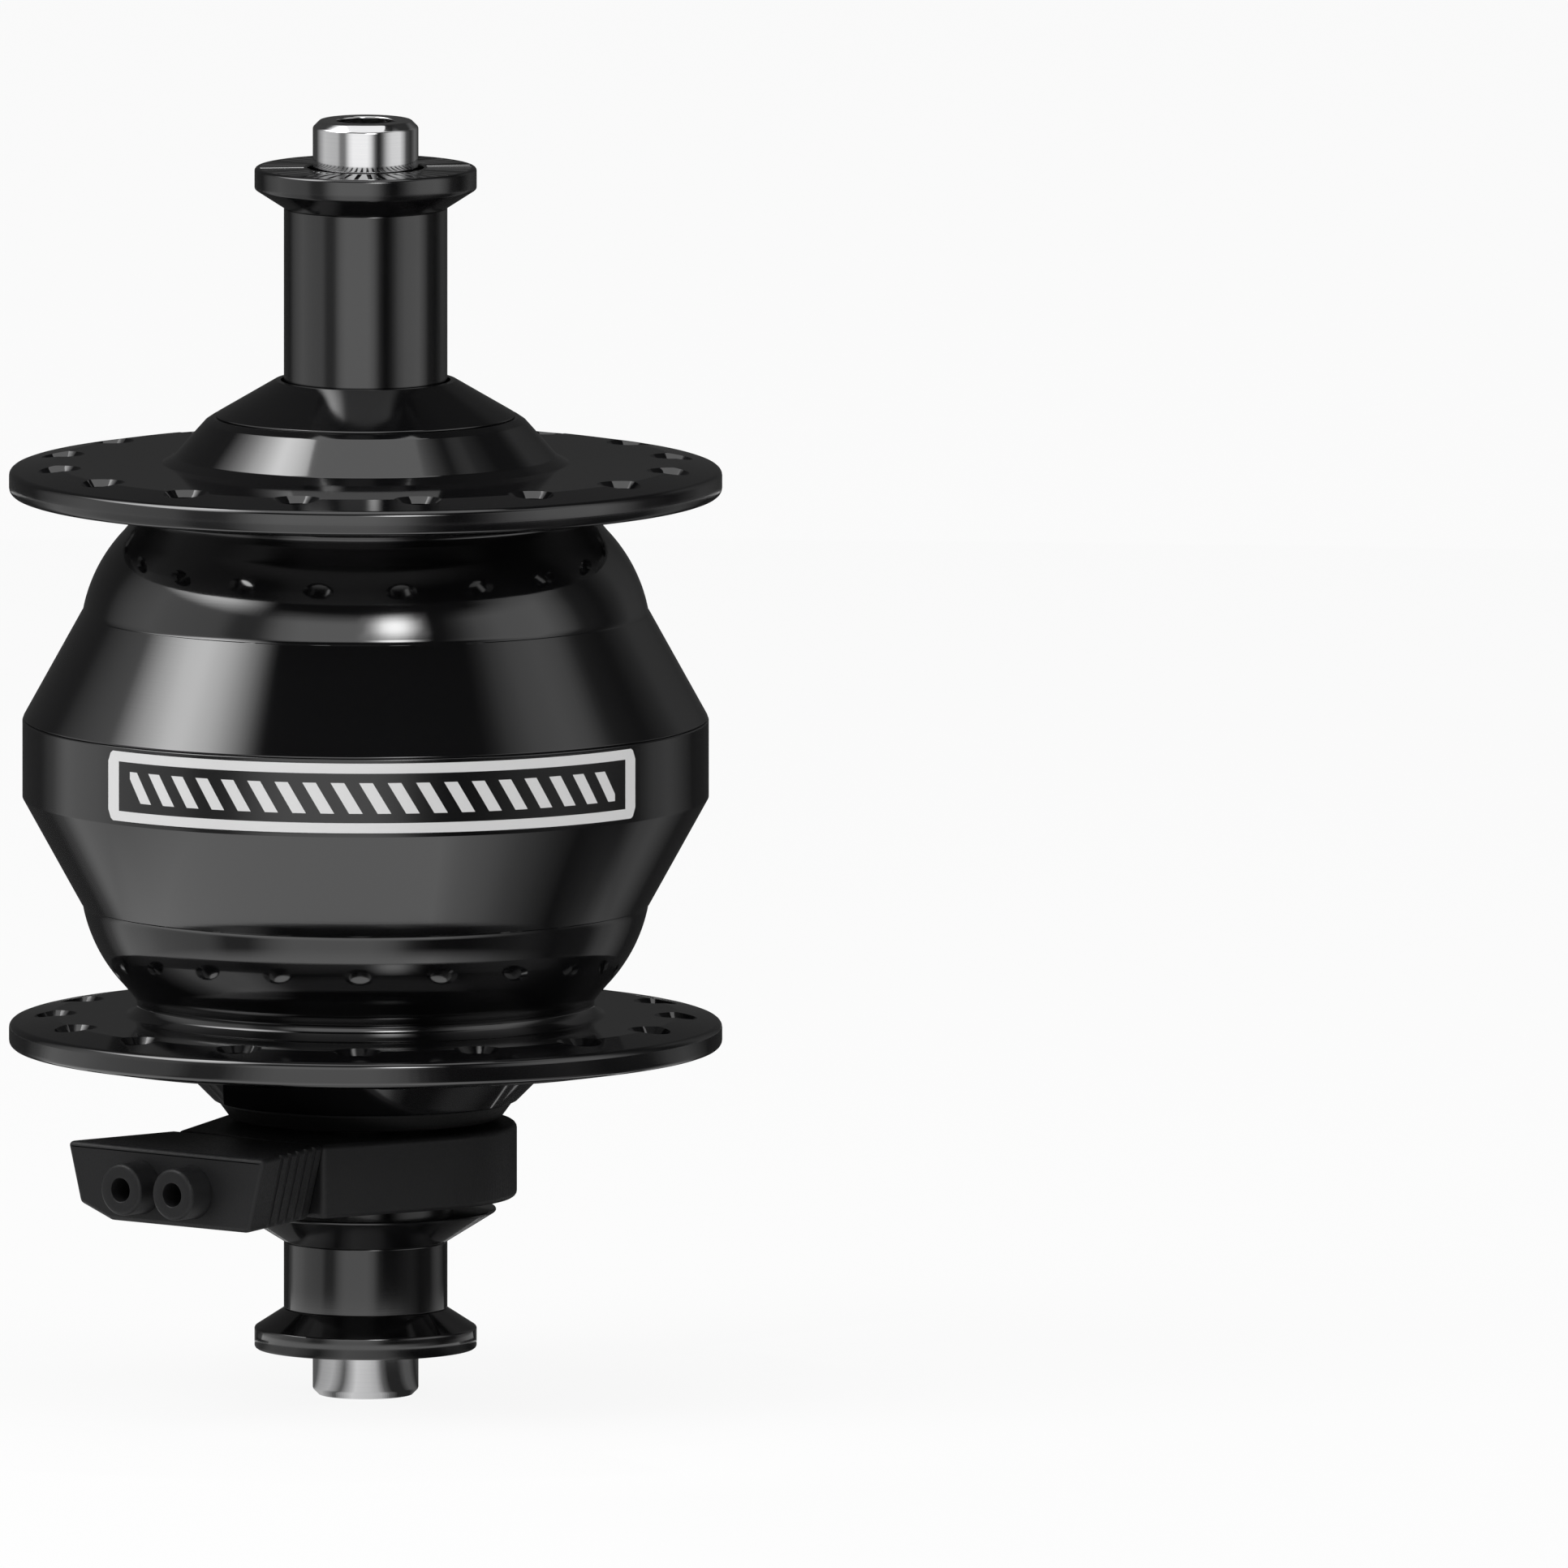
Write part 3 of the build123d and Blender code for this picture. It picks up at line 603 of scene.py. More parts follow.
seal_ring = lathe(
    "left_dust_seal_moulded",
    [
        (7.5, -SEAT_HEIGHT), (SEAT_RADIUS, -SEAT_HEIGHT), (SEAT_RADIUS, -BOSS_END),
        (12.5, -BOSS_END, 0.15), (11.4, -30.4, 0.3), (7.5, -30.4, 0.2),
    ],
    black_rubber,
)
complete(seal_ring, "shell", "seal_rubber", "left_dust_seal")

# %% [markdown]
# ## Locknuts
# The outer face of each locknut is knurled with 45 radial grooves, which bite into the fork so
# that the axle can't turn. The face round the axle is sunk by 0.9 mm.


# %% Both locknuts
FORK_FACE, SUNK_FACE = 50.0, 49.1
NUT_GROOVES, GROOVE_START, GROOVE_END = 45, 5.2, 8.9  # the grooves run between these radii
GROOVE_SECTION = [
    (-0.25, FORK_FACE + 0.2), (-0.1, FORK_FACE - 0.3),
    (0.1, FORK_FACE - 0.3), (0.25, FORK_FACE + 0.2),
]


def locknut(name, side, node):
    """A round nut with its grooved face, at the plain end (1) or the connector end (-1)."""
    corners = [
        (AXLE_FIT, NUT_START), (TUBE_RADIUS, NUT_START, 0.1), (9.35, 48.2, 0.25),
        (9.35, FORK_FACE, 0.3), (4.9, FORK_FACE, 0.08), (4.9, SUNK_FACE), (AXLE_FIT, SUNK_FACE),
    ]
    nut = lathe(name, at_end(corners, side), black_spacer)
    work = bmesh.new()
    for k in range(NUT_GROOVES):
        turn = Matrix.Rotation(math.tau * k / NUT_GROOVES, 4, "Z")
        stack(work, [
            [turn @ Vector((radius, across, side * height)) for across, height in GROOVE_SECTION]
            for radius in (GROOVE_START, GROOVE_END)
        ])
    bmesh.ops.recalc_face_normals(work, faces=work.faces)
    carve(nut, new_object("groove cutter", work, black_spacer))
    complete(nut, "axle_assembly", "black_turned", node)


locknut("right_locknut_turned", side=1, node="right_locknut")
locknut("left_locknut_turned", side=-1, node="left_locknut")

# %% [markdown]
# ## The axle
# The axle is a plated steel tube. Only its two ends show, past the locknuts, each with a
# chamfered edge and the mouth of the bore for the quick-release skewer.

# %% Axle
AXLE_END, END_RADIUS, SKEWER_RADIUS = 54.0, 4.45, 2.5
UNDERCUT, THREAD = 4.1, 4.5  # radii
LEAD_GROOVE_MIDDLE, LEAD_GROOVE_SIZE = (0, -6.85, -23.35), (2.1, 4.0, 27.5)

axle_tip = [
    (SKEWER_RADIUS, AXLE_END, 0.15), (3.85, AXLE_END, 0.34), (END_RADIUS, 53.4, 0.34),
    (END_RADIUS, FORK_FACE), (UNDERCUT, FORK_FACE), (UNDERCUT, SUNK_FACE), (THREAD, SUNK_FACE),
]
axle = lathe(
    "axle_turned",
    [
        *axle_tip, (THREAD, RACE_END), (6.0, RACE_END), (6.0, 21.3), (7.0, 21.3), (7.0, 12.6),
        (9.5, 12.6), (9.5, 11.0), (7.0, 11.0), (7.0, -21.3), (6.0, -21.3),
        (6.0, -THREAD_START), (THREAD, -THREAD_START), *reversed(at_end(axle_tip, -1)),
    ],
    polished_steel,
)
groove = bmesh.new()
groove_place = Matrix.LocRotScale(LEAD_GROOVE_MIDDLE, None, LEAD_GROOVE_SIZE)
bmesh.ops.create_cube(groove, size=1, matrix=groove_place)
carve(axle, new_object("lead groove cutter", groove, polished_steel))
complete(axle, "axle_assembly", "silver_axle", "axle")

# %% [markdown]
# ## The connector
# A moulded collar sits on the axle, and an arm with straight sides runs off it at a tangent.
# Seen along the axle the outline is a circle with a tail, so the shape is that outline stacked
# in layers: the first and last layers are drawn in a little, which rounds the long edges.


# %% Layers helpers
BEAD_STEPS = 4


def drawn_in(outline, amount):
    """The flat outline moved inwards, square to its edges."""
    made = []
    for i, point in enumerate(outline):
        before = (Vector(point) - Vector(outline[i - 1])).normalized()
        after = (Vector(outline[(i + 1) % len(outline)]) - Vector(point)).normalized()
        square_before, square_after = Vector((-before.y, before.x)), Vector((-after.y, after.x))
        inward = (square_before + square_after).normalized()
        share = max(0.35, inward.dot(square_after))
        made.append(Vector(point) + inward * amount / share)
    return made


def bead(edge, start, way):
    """(distance along, amount drawn in) of a rounded edge, from the cap to the full outline."""
    turns = [math.pi / 2 * k / BEAD_STEPS for k in range(BEAD_STEPS + 1)]
    return [(start + way * edge * (1 - math.cos(t)), edge * (1 - math.sin(t))) for t in turns]


print("a 0.5 mm bead:", [tuple(round(c, 2) for c in p) for p in bead(0.5, 0, 1)])

# %% Connector base
COLLAR_RADIUS = 12.73
ARM_HALF, ARM_REACH = 8.0, 15.4
ARM_TOP, ARM_BOTTOM = -30.8, -37.1
SLEEVE_HOLE = 7.42  # the collar sits on the cone's sleeve
ARC_STEPS = 120

arm_corner = Vector((ARM_HALF, -ARM_REACH))
touch_angle = math.atan2(arm_corner.y, arm_corner.x) + math.acos(COLLAR_RADIUS / arm_corner.length)
arc_turns = [
    touch_angle + (math.pi - 2 * touch_angle) * k / ARC_STEPS for k in range(ARC_STEPS + 1)
]
arc = [(COLLAR_RADIUS * math.cos(a), COLLAR_RADIUS * math.sin(a)) for a in arc_turns]
arm_end = rounded([arc[-1], (-ARM_HALF, -ARM_REACH, 0.7), (ARM_HALF, -ARM_REACH, 0.7), arc[0]])
arm_outline = [*arc, *[tuple(p) for p in arm_end[1:-1]]]
levels = [*bead(edge=0.55, start=ARM_TOP, way=-1), *reversed(bead(0.45, ARM_BOTTOM, 1))]
connector = bmesh.new()
stack(connector, [[(*p, z) for p in drawn_in(arm_outline, amount)] for z, amount in levels])
connector_piece = new_object("connector_base_moulded", connector, black_nylon)

collar = bmesh.new()
sweep_round(collar, rounded([
    (5.0, -CONNECTOR_END), (COLLAR_RADIUS - 1.1, -CONNECTOR_END, 0.3), (COLLAR_RADIUS, -37.0, 0.3),
    (COLLAR_RADIUS, -34.0), (5.0, -34.0),
]))
carve(connector_piece, new_object("collar", collar, black_nylon), "UNION")
bore = bmesh.new()
add_rod(bore, SLEEVE_HOLE, 12, Matrix.Translation((0, 0, -34.5)), steps=96)
carve(connector_piece, new_object("bore cutter", bore, black_nylon))
complete(connector_piece, "axle_assembly", "connector_nylon", "connector_base")

# %% [markdown]
# ## The plug
# The plug flares out from the arm to a wide back, which is easy to pull. Its cross-section
# has sides that lean in towards the bottom and one cut corner, so that it fits only one way
# round. Five upright grooves on each flank give the fingers a hold, and two short nozzles take
# the wires. No wires are fitted, so the nozzles are open.


# %% Body of the plug
PLUG_START, PLUG_END = 15.5, 26.6  # distances along the arm
PLUG_HALF_START, PLUG_HALF_END = 8.2, 10.75  # half widths at the top
PLUG_TOP, PLUG_BOTTOM = ARM_TOP, -37.2
FLANK_RUN = 1.7  # how far each flank leans in from top to bottom
CUT_HEIGHT, CUT_WIDTH = 1.25, 3.0  # the corner that is cut off


def plug_half(along):
    """Half the width of the plug's top at a distance along the arm."""
    share = (along - PLUG_START) / (PLUG_END - PLUG_START)
    return PLUG_HALF_START + (PLUG_HALF_END - PLUG_HALF_START) * share


def plug_layer(along, amount):
    """The cross-section of the plug at a distance along the arm."""
    half, height = plug_half(along), PLUG_TOP - PLUG_BOTTOM
    cut = half - FLANK_RUN / height * (height - CUT_HEIGHT)
    section = rounded([
        (half, PLUG_TOP, 0.35), (-half, PLUG_TOP, 0.35), (-cut, PLUG_BOTTOM + CUT_HEIGHT, 0.5),
        (-half + FLANK_RUN + CUT_WIDTH, PLUG_BOTTOM, 0.5), (half - FLANK_RUN, PLUG_BOTTOM, 0.7),
    ])
    return [(p.x, -along, p.y) for p in drawn_in(section, amount)]


plug = bmesh.new()
plug_levels = [*bead(edge=0.4, start=PLUG_START, way=1), *reversed(bead(0.45, PLUG_END, -1))]
stack(plug, [plug_layer(along, amount) for along, amount in plug_levels])
bmesh.ops.recalc_face_normals(plug, faces=plug.faces)
plug_piece = new_object("plug_housing_moulded", plug, black_nylon)

# %% Grip grooves, wire holes and nozzles
GRIPS, FIRST_GRIP, GRIP_PITCH = 5, 23.1, 1.5
GRIP_LEAN = 14.9  # degrees, as the flank leans
GRIP_SIZE = (0.45, 0.3, 12)  # the cutter's radii, into the flank and along it, and its length
GRIP_OUT = 0.05  # the cutter's axis stands this far outside the flank
WIRE_OFFSET, WIRE_HEIGHT = 2.8, -34.15
WIRE_HOLE, CONTACT_HOLE = (17.0, 33.0, 1.0), (14.0, 24.0, 1.32)  # start, end and radius


def wire_way(hand, along=0.0):
    """The frame of a wire: on one hand of the plug, with its Z running out along the arm."""
    shift = Matrix.Translation((hand * WIRE_OFFSET, -along, WIRE_HEIGHT))
    return shift @ Matrix.Rotation(math.pi / 2, 4, "X")


grips = bmesh.new()
for hand in (-1, 1):
    lean = Matrix.Rotation(math.radians(hand * GRIP_LEAN), 4, "Y")
    for grip in range(GRIPS):
        along = FIRST_GRIP - grip * GRIP_PITCH
        flank = plug_half(along) - FLANK_RUN / 2
        middle = (hand * (flank + GRIP_OUT), -along, (PLUG_TOP + PLUG_BOTTOM) / 2)
        place = Matrix.Translation(middle) @ lean @ Matrix.Diagonal((*GRIP_SIZE, 1))
        add_rod(grips, radius=1, length=1, place=place, steps=12)
carve(plug_piece, new_object("grip cutter", grips, black_nylon))

for start, end, radius in (WIRE_HOLE, CONTACT_HOLE):
    holes = bmesh.new()
    for hand in (-1, 1):
        add_rod(holes, radius, end - start, wire_way(hand, (start + end) / 2))
    bmesh.ops.recalc_face_normals(holes, faces=holes.faces)
    carve(plug_piece, new_object("bore cutter", holes, black_nylon))

nozzles = bmesh.new()
nozzle_outline = rounded([
    (1.0, 24.5), (2.3, 24.5), (2.3, 26.6), (2.2, 26.75), (2.2, 29.2, 0.35), (1.0, 29.2, 0.12),
])
for hand in (-1, 1):
    sweep_round(nozzles, nozzle_outline, steps=64, place=wire_way(hand))
absorb(plug_piece, new_object("nozzles", nozzles, black_nylon))
complete(plug_piece, "plug", "plug_nylon", "plug_housing")

# %% [markdown]
# ## The label
# A printed film is wrapped part of the way round the band, nearly as high as the band. This
# one carries no words: a row of evenly spaced slanted strokes runs from end to end in a black
# lane with a white border. It is a thin curved sheet with rounded corners, and the print is
# drawn by its own coordinates: millimetres along the band and across it.

# %% Print of the label
LABEL_LENGTH, LABEL_HEIGHT = 50.4, 6.1
BORDER_START, BORDER_END = 2.1, 2.95  # the white border, from the middle line
END_BAR, STROKE_END = 1.3, 2.6  # the white end bar and the last stroke, from either end
STROKE_PITCH, STROKE_WIDTH, STROKE_HALF, STROKE_SLANT = 2.4, 1.15, 1.3, 0.6

label_film, label_tree, label_shader = new_material(
    "printed polyester film", Roughness=0.22, IOR=1.58, Coat_Weight=0.6, Coat_Roughness=0.06,
)
label_place = add_node(label_tree, "ShaderNodeUVMap", {"uv_map": "millimetres"}).outputs[0]
label_parts = add_node(label_tree, "ShaderNodeSeparateXYZ", Vector=label_place)
along, across = label_parts.outputs["X"], label_parts.outputs["Y"]


def number(operation, a, b=0.0, c=0.0):
    """One step of arithmetic in the label's print."""
    step = add_node(label_tree, "ShaderNodeMath", {"operation": operation}, in0=a, in1=b, in2=c)
    return step.outputs[0]


from_middle = number("ABSOLUTE", along)
height = number("ABSOLUTE", across)
border = number("GREATER_THAN", height, BORDER_START)
end_bar = number("GREATER_THAN", from_middle, LABEL_LENGTH / 2 - END_BAR)
slant = number("ADD", along, number("MULTIPLY", across, STROKE_SLANT))
beat = number("PINGPONG", slant, STROKE_PITCH / 2)
in_stroke = number("LESS_THAN", beat, STROKE_WIDTH / 2)
in_lane = number("LESS_THAN", height, STROKE_HALF)
in_run = number("LESS_THAN", from_middle, LABEL_LENGTH / 2 - STROKE_END)
strokes = number("MULTIPLY", number("MULTIPLY", in_stroke, in_lane), in_run)
white_part = number("MAXIMUM", number("MAXIMUM", border, end_bar), strokes)
past_border = number("GREATER_THAN", height, BORDER_END)
white_print = number("MULTIPLY", white_part, number("SUBTRACT", 1.0, past_border))
label_colour = mixed(label_tree, white_print, ("#0c0c0d", "#e4e4e4"))
label_tree.links.new(label_colour, label_shader.inputs["Base Color"])

# %% Label film
LABEL_CENTRE = -49.1  # degrees round the axle
FILM, GLUE = 0.06, 0.004  # thickness of the film, and of the gap under it
CORNER = 1.0  # radius of the film's corners
COLUMNS, ROWS = 160, 4
INNER = ROWS + 1  # a column lists its outer points first, then the inner ones

film = bmesh.new()
uv = film.loops.layers.uv.new("millimetres")
grid = []
for i in range(COLUMNS + 1):
    s = (i / COLUMNS - 0.5) * LABEL_LENGTH
    into_corner = max(0.0, abs(s) - (LABEL_LENGTH / 2 - CORNER))
    left_out = CORNER - math.sqrt(max(0.0, CORNER ** 2 - into_corner ** 2))
    half = LABEL_HEIGHT / 2 - left_out
    angle = math.radians(LABEL_CENTRE) + s / BAND_RADIUS
    column = []
    for lift in (FILM, 0.0):
        radius = BAND_RADIUS + GLUE + lift
        x, y = radius * math.cos(angle), radius * math.sin(angle)
        for k in range(ROWS + 1):
            z = (k / ROWS - 0.5) * 2 * half
            column.append((film.verts.new((x, y, z)), s, z))
    grid.append(column)


def film_face(corners):
    """One face of the film, with its print coordinates."""
    face = film.faces.new([c[0] for c in corners])
    for loop, corner in zip(face.loops, corners):
        loop[uv].uv = corner[1:]


for here, following in zip(grid, grid[1:]):
    for base in (0, INNER):
        for k in range(base, base + ROWS):
            film_face((here[k], following[k], following[k + 1], here[k + 1]))
    for k in (0, ROWS):
        film_face((here[k], following[k], following[k + INNER], here[k + INNER]))
for column in (grid[0], grid[-1]):
    for k in range(ROWS):
        film_face((column[k], column[k + 1], column[k + 1 + INNER], column[k + INNER]))
label = new_object("band_label", film, label_film)
complete(label, "shell", "black_shell")

# %% [markdown]
# ## Floor and background
# The hub stands on a plain white table in front of a white wall. A white background comes from
# what the camera sees, not from more light on the hub: the world is white to the camera and in
# reflections and a plain grey for the light it casts. The table top does the same, and keeps a
# share of its real shading, which keeps the shadow.

# %% World and table
WORLD_LIGHT = 0.4
TABLE_HEIGHT, TABLE_HALF = -54.02, 3000
TABLE_GRAIN = 25  # size of its faint lighter and darker patches
TABLE_WHITE = 0.9  # the share of the table's look that is plain white


def seen_directly(tree):
    """1 for camera, mirror and glass rays, 0 for the rays that only carry light."""
    rays = add_node(tree, "ShaderNodeLightPath")
    seen = rays.outputs["Is Camera Ray"]
    for kind in ("Is Glossy Ray", "Is Transmission Ray"):
        larger = add_node(
            tree, "ShaderNodeMath", {"operation": "MAXIMUM"}, in0=seen, in1=rays.outputs[kind],
        )
        seen = larger.outputs[0]
    return seen


world = bpy.data.worlds.new("white studio")
bpy.context.scene.world = world
world.use_nodes = True
world_tree = world.node_tree
world_tree.nodes.clear()
dim = add_node(world_tree, "ShaderNodeBackground", Color=linear("#ffffff"), Strength=WORLD_LIGHT)
white = add_node(world_tree, "ShaderNodeBackground", Color=linear("#ffffff"), Strength=1.0)
both = add_node(
    world_tree, "ShaderNodeMixShader",
    in0=seen_directly(world_tree), in1=dim.outputs[0], in2=white.outputs[0],
)
add_node(world_tree, "ShaderNodeOutputWorld", Surface=both.outputs[0])

table_top, table_tree, table_shader = new_material("white table top, matt lacquer", Roughness=0.7)
table_place = add_node(table_tree, "ShaderNodeTexCoord").outputs["Object"]
table_grain = add_node(
    table_tree, "ShaderNodeTexNoise", in0=table_place, Scale=1 / (TABLE_GRAIN * MM),
)
table_colour = mixed(table_tree, table_grain.outputs["Fac"], ("#f6f6f6", "#fafafa"))
table_tree.links.new(table_colour, table_shader.inputs["Base Color"])
table_glow = add_node(table_tree, "ShaderNodeEmission", Color=linear("#ffffff"), Strength=1.0)
table_share = add_node(
    table_tree, "ShaderNodeMath", {"operation": "MULTIPLY"},
    in0=seen_directly(table_tree), in1=TABLE_WHITE,
)
table_mix = add_node(
    table_tree, "ShaderNodeMixShader",
    in0=table_share.outputs[0], in1=table_shader.outputs[0], in2=table_glow.outputs[0],
)
table_output = table_tree.nodes["Material Output"]
table_tree.links.new(table_mix.outputs[0], table_output.inputs["Surface"])
floor_work = bmesh.new()
bmesh.ops.create_grid(
    floor_work, x_segments=24, y_segments=24, size=TABLE_HALF,
    matrix=Matrix.Translation((0, 0, TABLE_HEIGHT)),
)
floor = new_object("table", floor_work, table_top)
print("floor at", round(floor.data.vertices[0].co.z / MM, 2), "mm")

# %% [markdown]
# ## Lamps, and what the gloss reflects
# Polished black has almost no colour of its own: it shows what stands round it. A product
# photographer therefore lights it with what it mirrors: a tall softbox on the left, white
# walls, and black flags between them that draw dark lines down every tube and cone. Here the
# two jobs are split. Three soft lamps light the hub at a plain level and are hidden from
# mirrors. Sheets of a dome and of the table are seen only in mirrors, and their brightness runs
# softly from stop to stop. Turns are in degrees to the camera's right, and rises are above the
# horizon.


# %% Lamps
CAMERA_TURN, CAMERA_RISE = 39.3, 6.9


def towards(turn, rise):
    """Direction from the hub, by degrees to the camera's right and above the horizon."""
    a = math.radians(CAMERA_TURN + turn)
    e = math.radians(rise)
    return Vector((math.sin(a) * math.cos(e), -math.cos(a) * math.cos(e), math.sin(e)))


def softbox(name, turn, rise, distance, width, height, radiance):
    """A soft area lamp that faces the hub; sizes in metres."""
    light = bpy.data.lights.new(name, "AREA")
    light.shape = "RECTANGLE"
    light.size = width
    light.size_y = height
    light.energy = radiance * math.pi * width * height
    lamp = bpy.data.objects.new(name, light)
    way = towards(turn, rise)
    lamp.location = way * distance
    lamp.rotation_euler = way.to_track_quat("Z", "Y").to_euler()
    lamp.visible_glossy = False
    bpy.context.scene.collection.objects.link(lamp)


softbox("left softbox", -60, 45, distance=0.9, width=0.5, height=0.6, radiance=4.0)
softbox("right softbox", 65, 35, distance=1.0, width=0.5, height=0.5, radiance=2.2)
softbox("overhead softbox", 0, 80, distance=0.9, width=0.5, height=0.5, radiance=2.0)

# %% Sheets that only mirrors see
DOME_RADIUS, HOT_LAMP_RADIUS = 0.6, 0.59  # in metres
SHEET_HEIGHT = -53.9  # the sheets on the table lie just above it
SHEET_STEP = 3  # degrees

studio_glow, glow_tree, glow_shader = new_material(
    "studio glow", Base_Color=linear("#000000"), Roughness=1.0, Specular_IOR_Level=0.0,
    Emission_Strength=1.0,
)
radiance_node = add_node(glow_tree, "ShaderNodeAttribute", {"attribute_name": "radiance"})
glow_tree.links.new(radiance_node.outputs["Color"], glow_shader.inputs["Emission Color"])
studio_glow.cycles.emission_sampling = "NONE"


def radiance_at(stops, turn):
    """Brightness at a turn, between stops of (turn, radiance)."""
    for (start, low), (end, high) in zip(stops, stops[1:]):
        if start <= turn <= end:
            return low + (high - low) * (turn - start) / (end - start)


def mirror_sheet(name, rows, place):
    """A sheet that only mirrors see: rows of (height, stops), and place makes them points."""
    first, last = rows[0][1][0][0], rows[0][1][-1][0]
    steps = max(2, round((last - first) / SHEET_STEP))
    turns = [first + (last - first) * i / steps for i in range(steps + 1)]
    work = bmesh.new()
    layer = work.verts.layers.float_color.new("radiance")
    grid = []
    for height, stops in rows:
        grid.append([work.verts.new(place(turn, height)) for turn in turns])
        for vert, turn in zip(grid[-1], turns):
            vert[layer] = (*[radiance_at(stops, turn)] * 3, 1.0)
    for low, high in zip(grid, grid[1:]):
        for i in range(steps):
            work.faces.new((low[i], low[i + 1], high[i + 1], high[i]))
    piece = new_object(name, work, studio_glow)
    for ray in ("camera", "diffuse", "shadow", "transmission"):
        setattr(piece, "visible_" + ray, False)


def dome_sheet(name, rows, radius=DOME_RADIUS):
    """A sheet of a dome round the hub; the height of a row is its rise."""
    mirror_sheet(name, rows, lambda turn, rise: towards(turn, rise) * radius / MM)


def table_sheet(name, rows):
    """A ring sector on the table; the height of a row is its distance from the hub in metres."""
    def on_table(turn, reach):
        return (*(towards(turn, 0) * reach / MM).xy, SHEET_HEIGHT)

    mirror_sheet(name, rows, on_table)


print("one panel of a sheet every", SHEET_STEP, "degrees")

# %% [markdown]
# ## Brightness of the sheets
# A stop is (turn, brightness), and 1 is as bright as the white world. The large softbox stands
# well to the camera's left and a small hot lamp just to its right. The wall is white near the
# camera and grey or black elsewhere. Behind the hub the table stays dim, so that the cone and
# the nuts keep their black there.

# %% Stops and sheets
WALL = [
    (-180, 0.05), (-133, 0.05), (-115, 0.36), (-100, 0.57), (-64, 0.5), (-56, 0.2), (-46, 0.2),
    (-36, 0.8), (-28, 1.0), (4, 1.0), (12, 0.7), (20, 0.16), (26, 0.02), (32, 0.03), (38, 0.15),
    (48, 0.52), (58, 0.72), (80, 0.76), (90, 0.45), (100, 0.08), (116, 0.03), (136, 0.14),
    (160, 0.05), (180, 0.05),
]
SOFTBOXES = [
    (-180, 0.05), (-128, 0.05), (-120, 0.7), (-112, 1.7), (-103, 3.6), (-94, 4.5), (-86, 4.6),
    (-76, 5.1), (-65, 3.9), (-54, 1.8), (-46, 0.3), (-42, 0.02), (48, 0.02), (53, 0.08),
    (60, 0.28), (70, 0.5), (82, 0.58), (93, 0.46), (105, 0.14), (117, 0.03), (180, 0.03),
]
SOFTBOX_TOPS = [
    (-180, 0.05), (-126, 0.05), (-119, 0.8), (-113, 1.95), (-103, 4.9), (-92, 6.2), (-80, 5.2),
    (-70, 3.8), (-57, 1.3), (-48, 0.87), (62, 0.85), (70, 0.7), (77, 0.4), (88, 0.07),
    (100, 0.02), (180, 0.02),
]
HOT_FOOT = [(-4, 1.0), (4, 1.1), (12, 1.4), (20, 0.5), (28, 0.03)]
HOT_SHOULDER = [(-4, 1.0), (3, 2.0), (8, 5.5), (12, 7.5), (16, 6.0), (22, 1.5), (28, 0.03)]
HOT_MIDDLE = [
    (-4, 1.0), (0, 1.2), (4, 4.0), (8, 9.0), (12, 11.0), (16, 9.5), (20, 5.0), (24, 1.0),
    (28, 0.03),
]
HOT_TOP = [(-4, 0.5), (3, 1.4), (8, 4.5), (12, 6.0), (16, 4.8), (22, 1.0), (28, 0.03)]
HOT_END = [(-4, 0.02), (28, 0.02)]
UNDER_THE_AXLE = [
    (-180, 0.1), (-121, 0.1), (-100, 0.36), (-69, 0.44), (-55, 0.28), (-43, 0.09), (-32, 0.35),
    (-18, 0.65), (6, 0.55), (18, 0.44), (30, 0.12), (42, 0.02), (66, 0.02), (84, 0.09),
    (100, 0.09), (121, 0.02), (180, 0.1),
]
RIGHT_OF_CONE = [
    (26, 1.0), (34, 0.75), (46, 0.55), (55, 0.35), (68, 0.17), (80, 0.03), (90, 0.08),
    (98, 0.17), (110, 0.4), (120, 0.5), (140, 0.5),
]
ROUND_THE_FRONT = [(-128, 1.0), *RIGHT_OF_CONE]
FAR_TABLE = [
    (-128, 0.2), (-118, 0.6), (-100, 0.6), (-90, 0.5), (-64, 0.42), (-56, 0.15), (-46, 0.15),
    (-36, 0.58), (-28, 0.76), (2, 0.76), (10, 0.56), (18, 0.12), (26, 0.02), (40, 0.02),
    (66, 0.09), (80, 0.03), (100, 0.05), (110, 0.22), (120, 0.25), (132, 0.1), (140, 0.03),
]
BEHIND_THE_NUT = [
    (104, 0.35), (114, 0.06), (148, 0.03), (166, 0.25), (198, 0.25), (214, 0.03), (238, 0.05),
    (250, 0.3),
]
BEHIND_THE_CONE = [
    (140, 0.03), (148, 0.03), (166, 0.25), (198, 0.25), (214, 0.03), (232, 0.2),
]
BACK_TABLE = [(140, 0.03), (180, 0.03), (222, 0.05), (232, 0.2)]

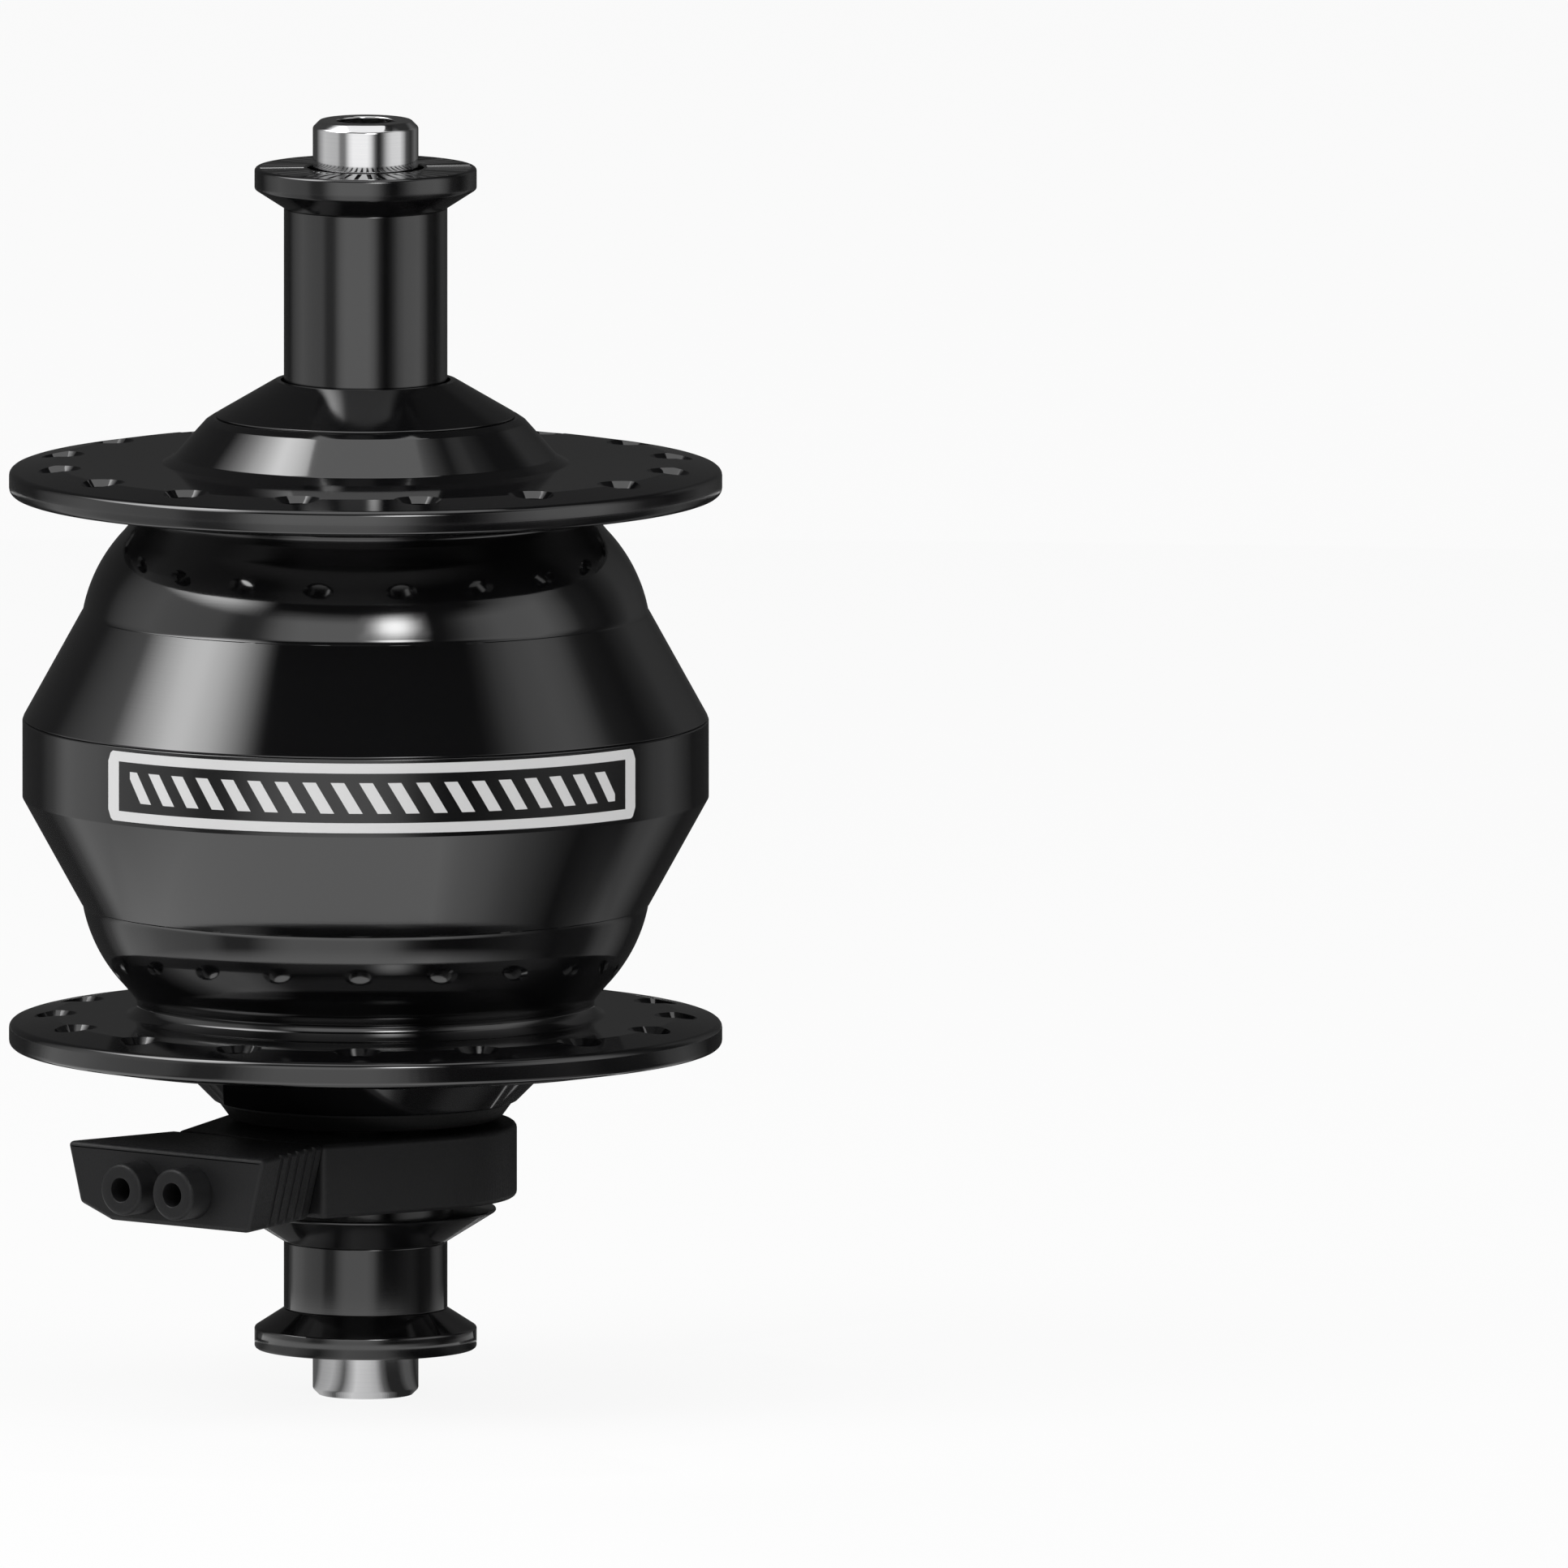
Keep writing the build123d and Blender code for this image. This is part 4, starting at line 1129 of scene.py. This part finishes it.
dome_sheet("walls and softboxes", [
    *[(rise, WALL) for rise in (-5, 10, 22, 29)],
    *[(rise, SOFTBOXES) for rise in (37, 46, 54)],
    *[(rise, SOFTBOX_TOPS) for rise in (60, 68)],
])
dome_sheet("hot lamp", [
    (16, HOT_FOOT), (21, HOT_SHOULDER), (25, HOT_MIDDLE), (29, HOT_MIDDLE), (33, HOT_TOP),
    (37, HOT_END),
], radius=HOT_LAMP_RADIUS)
table_sheet("table under the axle end", [(0.0005, UNDER_THE_AXLE), (0.036, UNDER_THE_AXLE)])
table_sheet("table beside the cone", [(0.044, RIGHT_OF_CONE), (0.060, RIGHT_OF_CONE)])
table_sheet("far table", [(0.060, ROUND_THE_FRONT), (0.078, FAR_TABLE), (0.6, FAR_TABLE)])
table_sheet("table behind the nut", [(0.037, BEHIND_THE_NUT), (0.044, BEHIND_THE_NUT)])
table_sheet("table behind the cone", [
    (0.044, BEHIND_THE_CONE), (0.056, BEHIND_THE_CONE), (0.062, BACK_TABLE),
])
table_sheet("back table", [(0.062, BACK_TABLE), (0.6, BACK_TABLE)])
sheets = [o.name for o in bpy.data.objects if o.type == "MESH" and not o.visible_camera]
print("sheets seen in mirrors:", len(sheets))

# %% [markdown]
# ## The camera
# The picture has no perspective, so the camera is orthographic. It looks slightly down, by
# about 7 degrees, and the hub stands in the left half of the frame, 14.65 pixels to the
# millimetre in a picture 1932 pixels wide.

# %% Camera
PICTURE, PIXELS_PER_MM = 1932, 14.65
HUB_CENTRE = (450.5, 933.0)  # where the middle of the hub stands in the picture, in pixels
CAMERA_DISTANCE = 0.6  # in metres: without perspective it doesn't change the picture

camera_data = bpy.data.cameras.new("camera")
camera_data.type = "ORTHO"
camera_data.ortho_scale = PICTURE / PIXELS_PER_MM * MM
camera = bpy.data.objects.new("camera", camera_data)
bpy.context.scene.collection.objects.link(camera)
back = towards(0, CAMERA_RISE)
turned = math.radians(CAMERA_TURN)
to_right = Vector((math.cos(turned), math.sin(turned), 0))
upward = back.cross(to_right)
off_right = (PICTURE / 2 - HUB_CENTRE[0]) / PIXELS_PER_MM * MM
off_down = (PICTURE / 2 - HUB_CENTRE[1]) / PIXELS_PER_MM * MM
camera.location = back * CAMERA_DISTANCE + to_right * off_right - upward * off_down
camera.rotation_euler = back.to_track_quat("Z", "Y").to_euler()
bpy.context.scene.camera = camera
bpy.context.scene.view_settings.view_transform = "Standard"
print("camera covers", round(camera_data.ortho_scale / MM, 1), "mm")
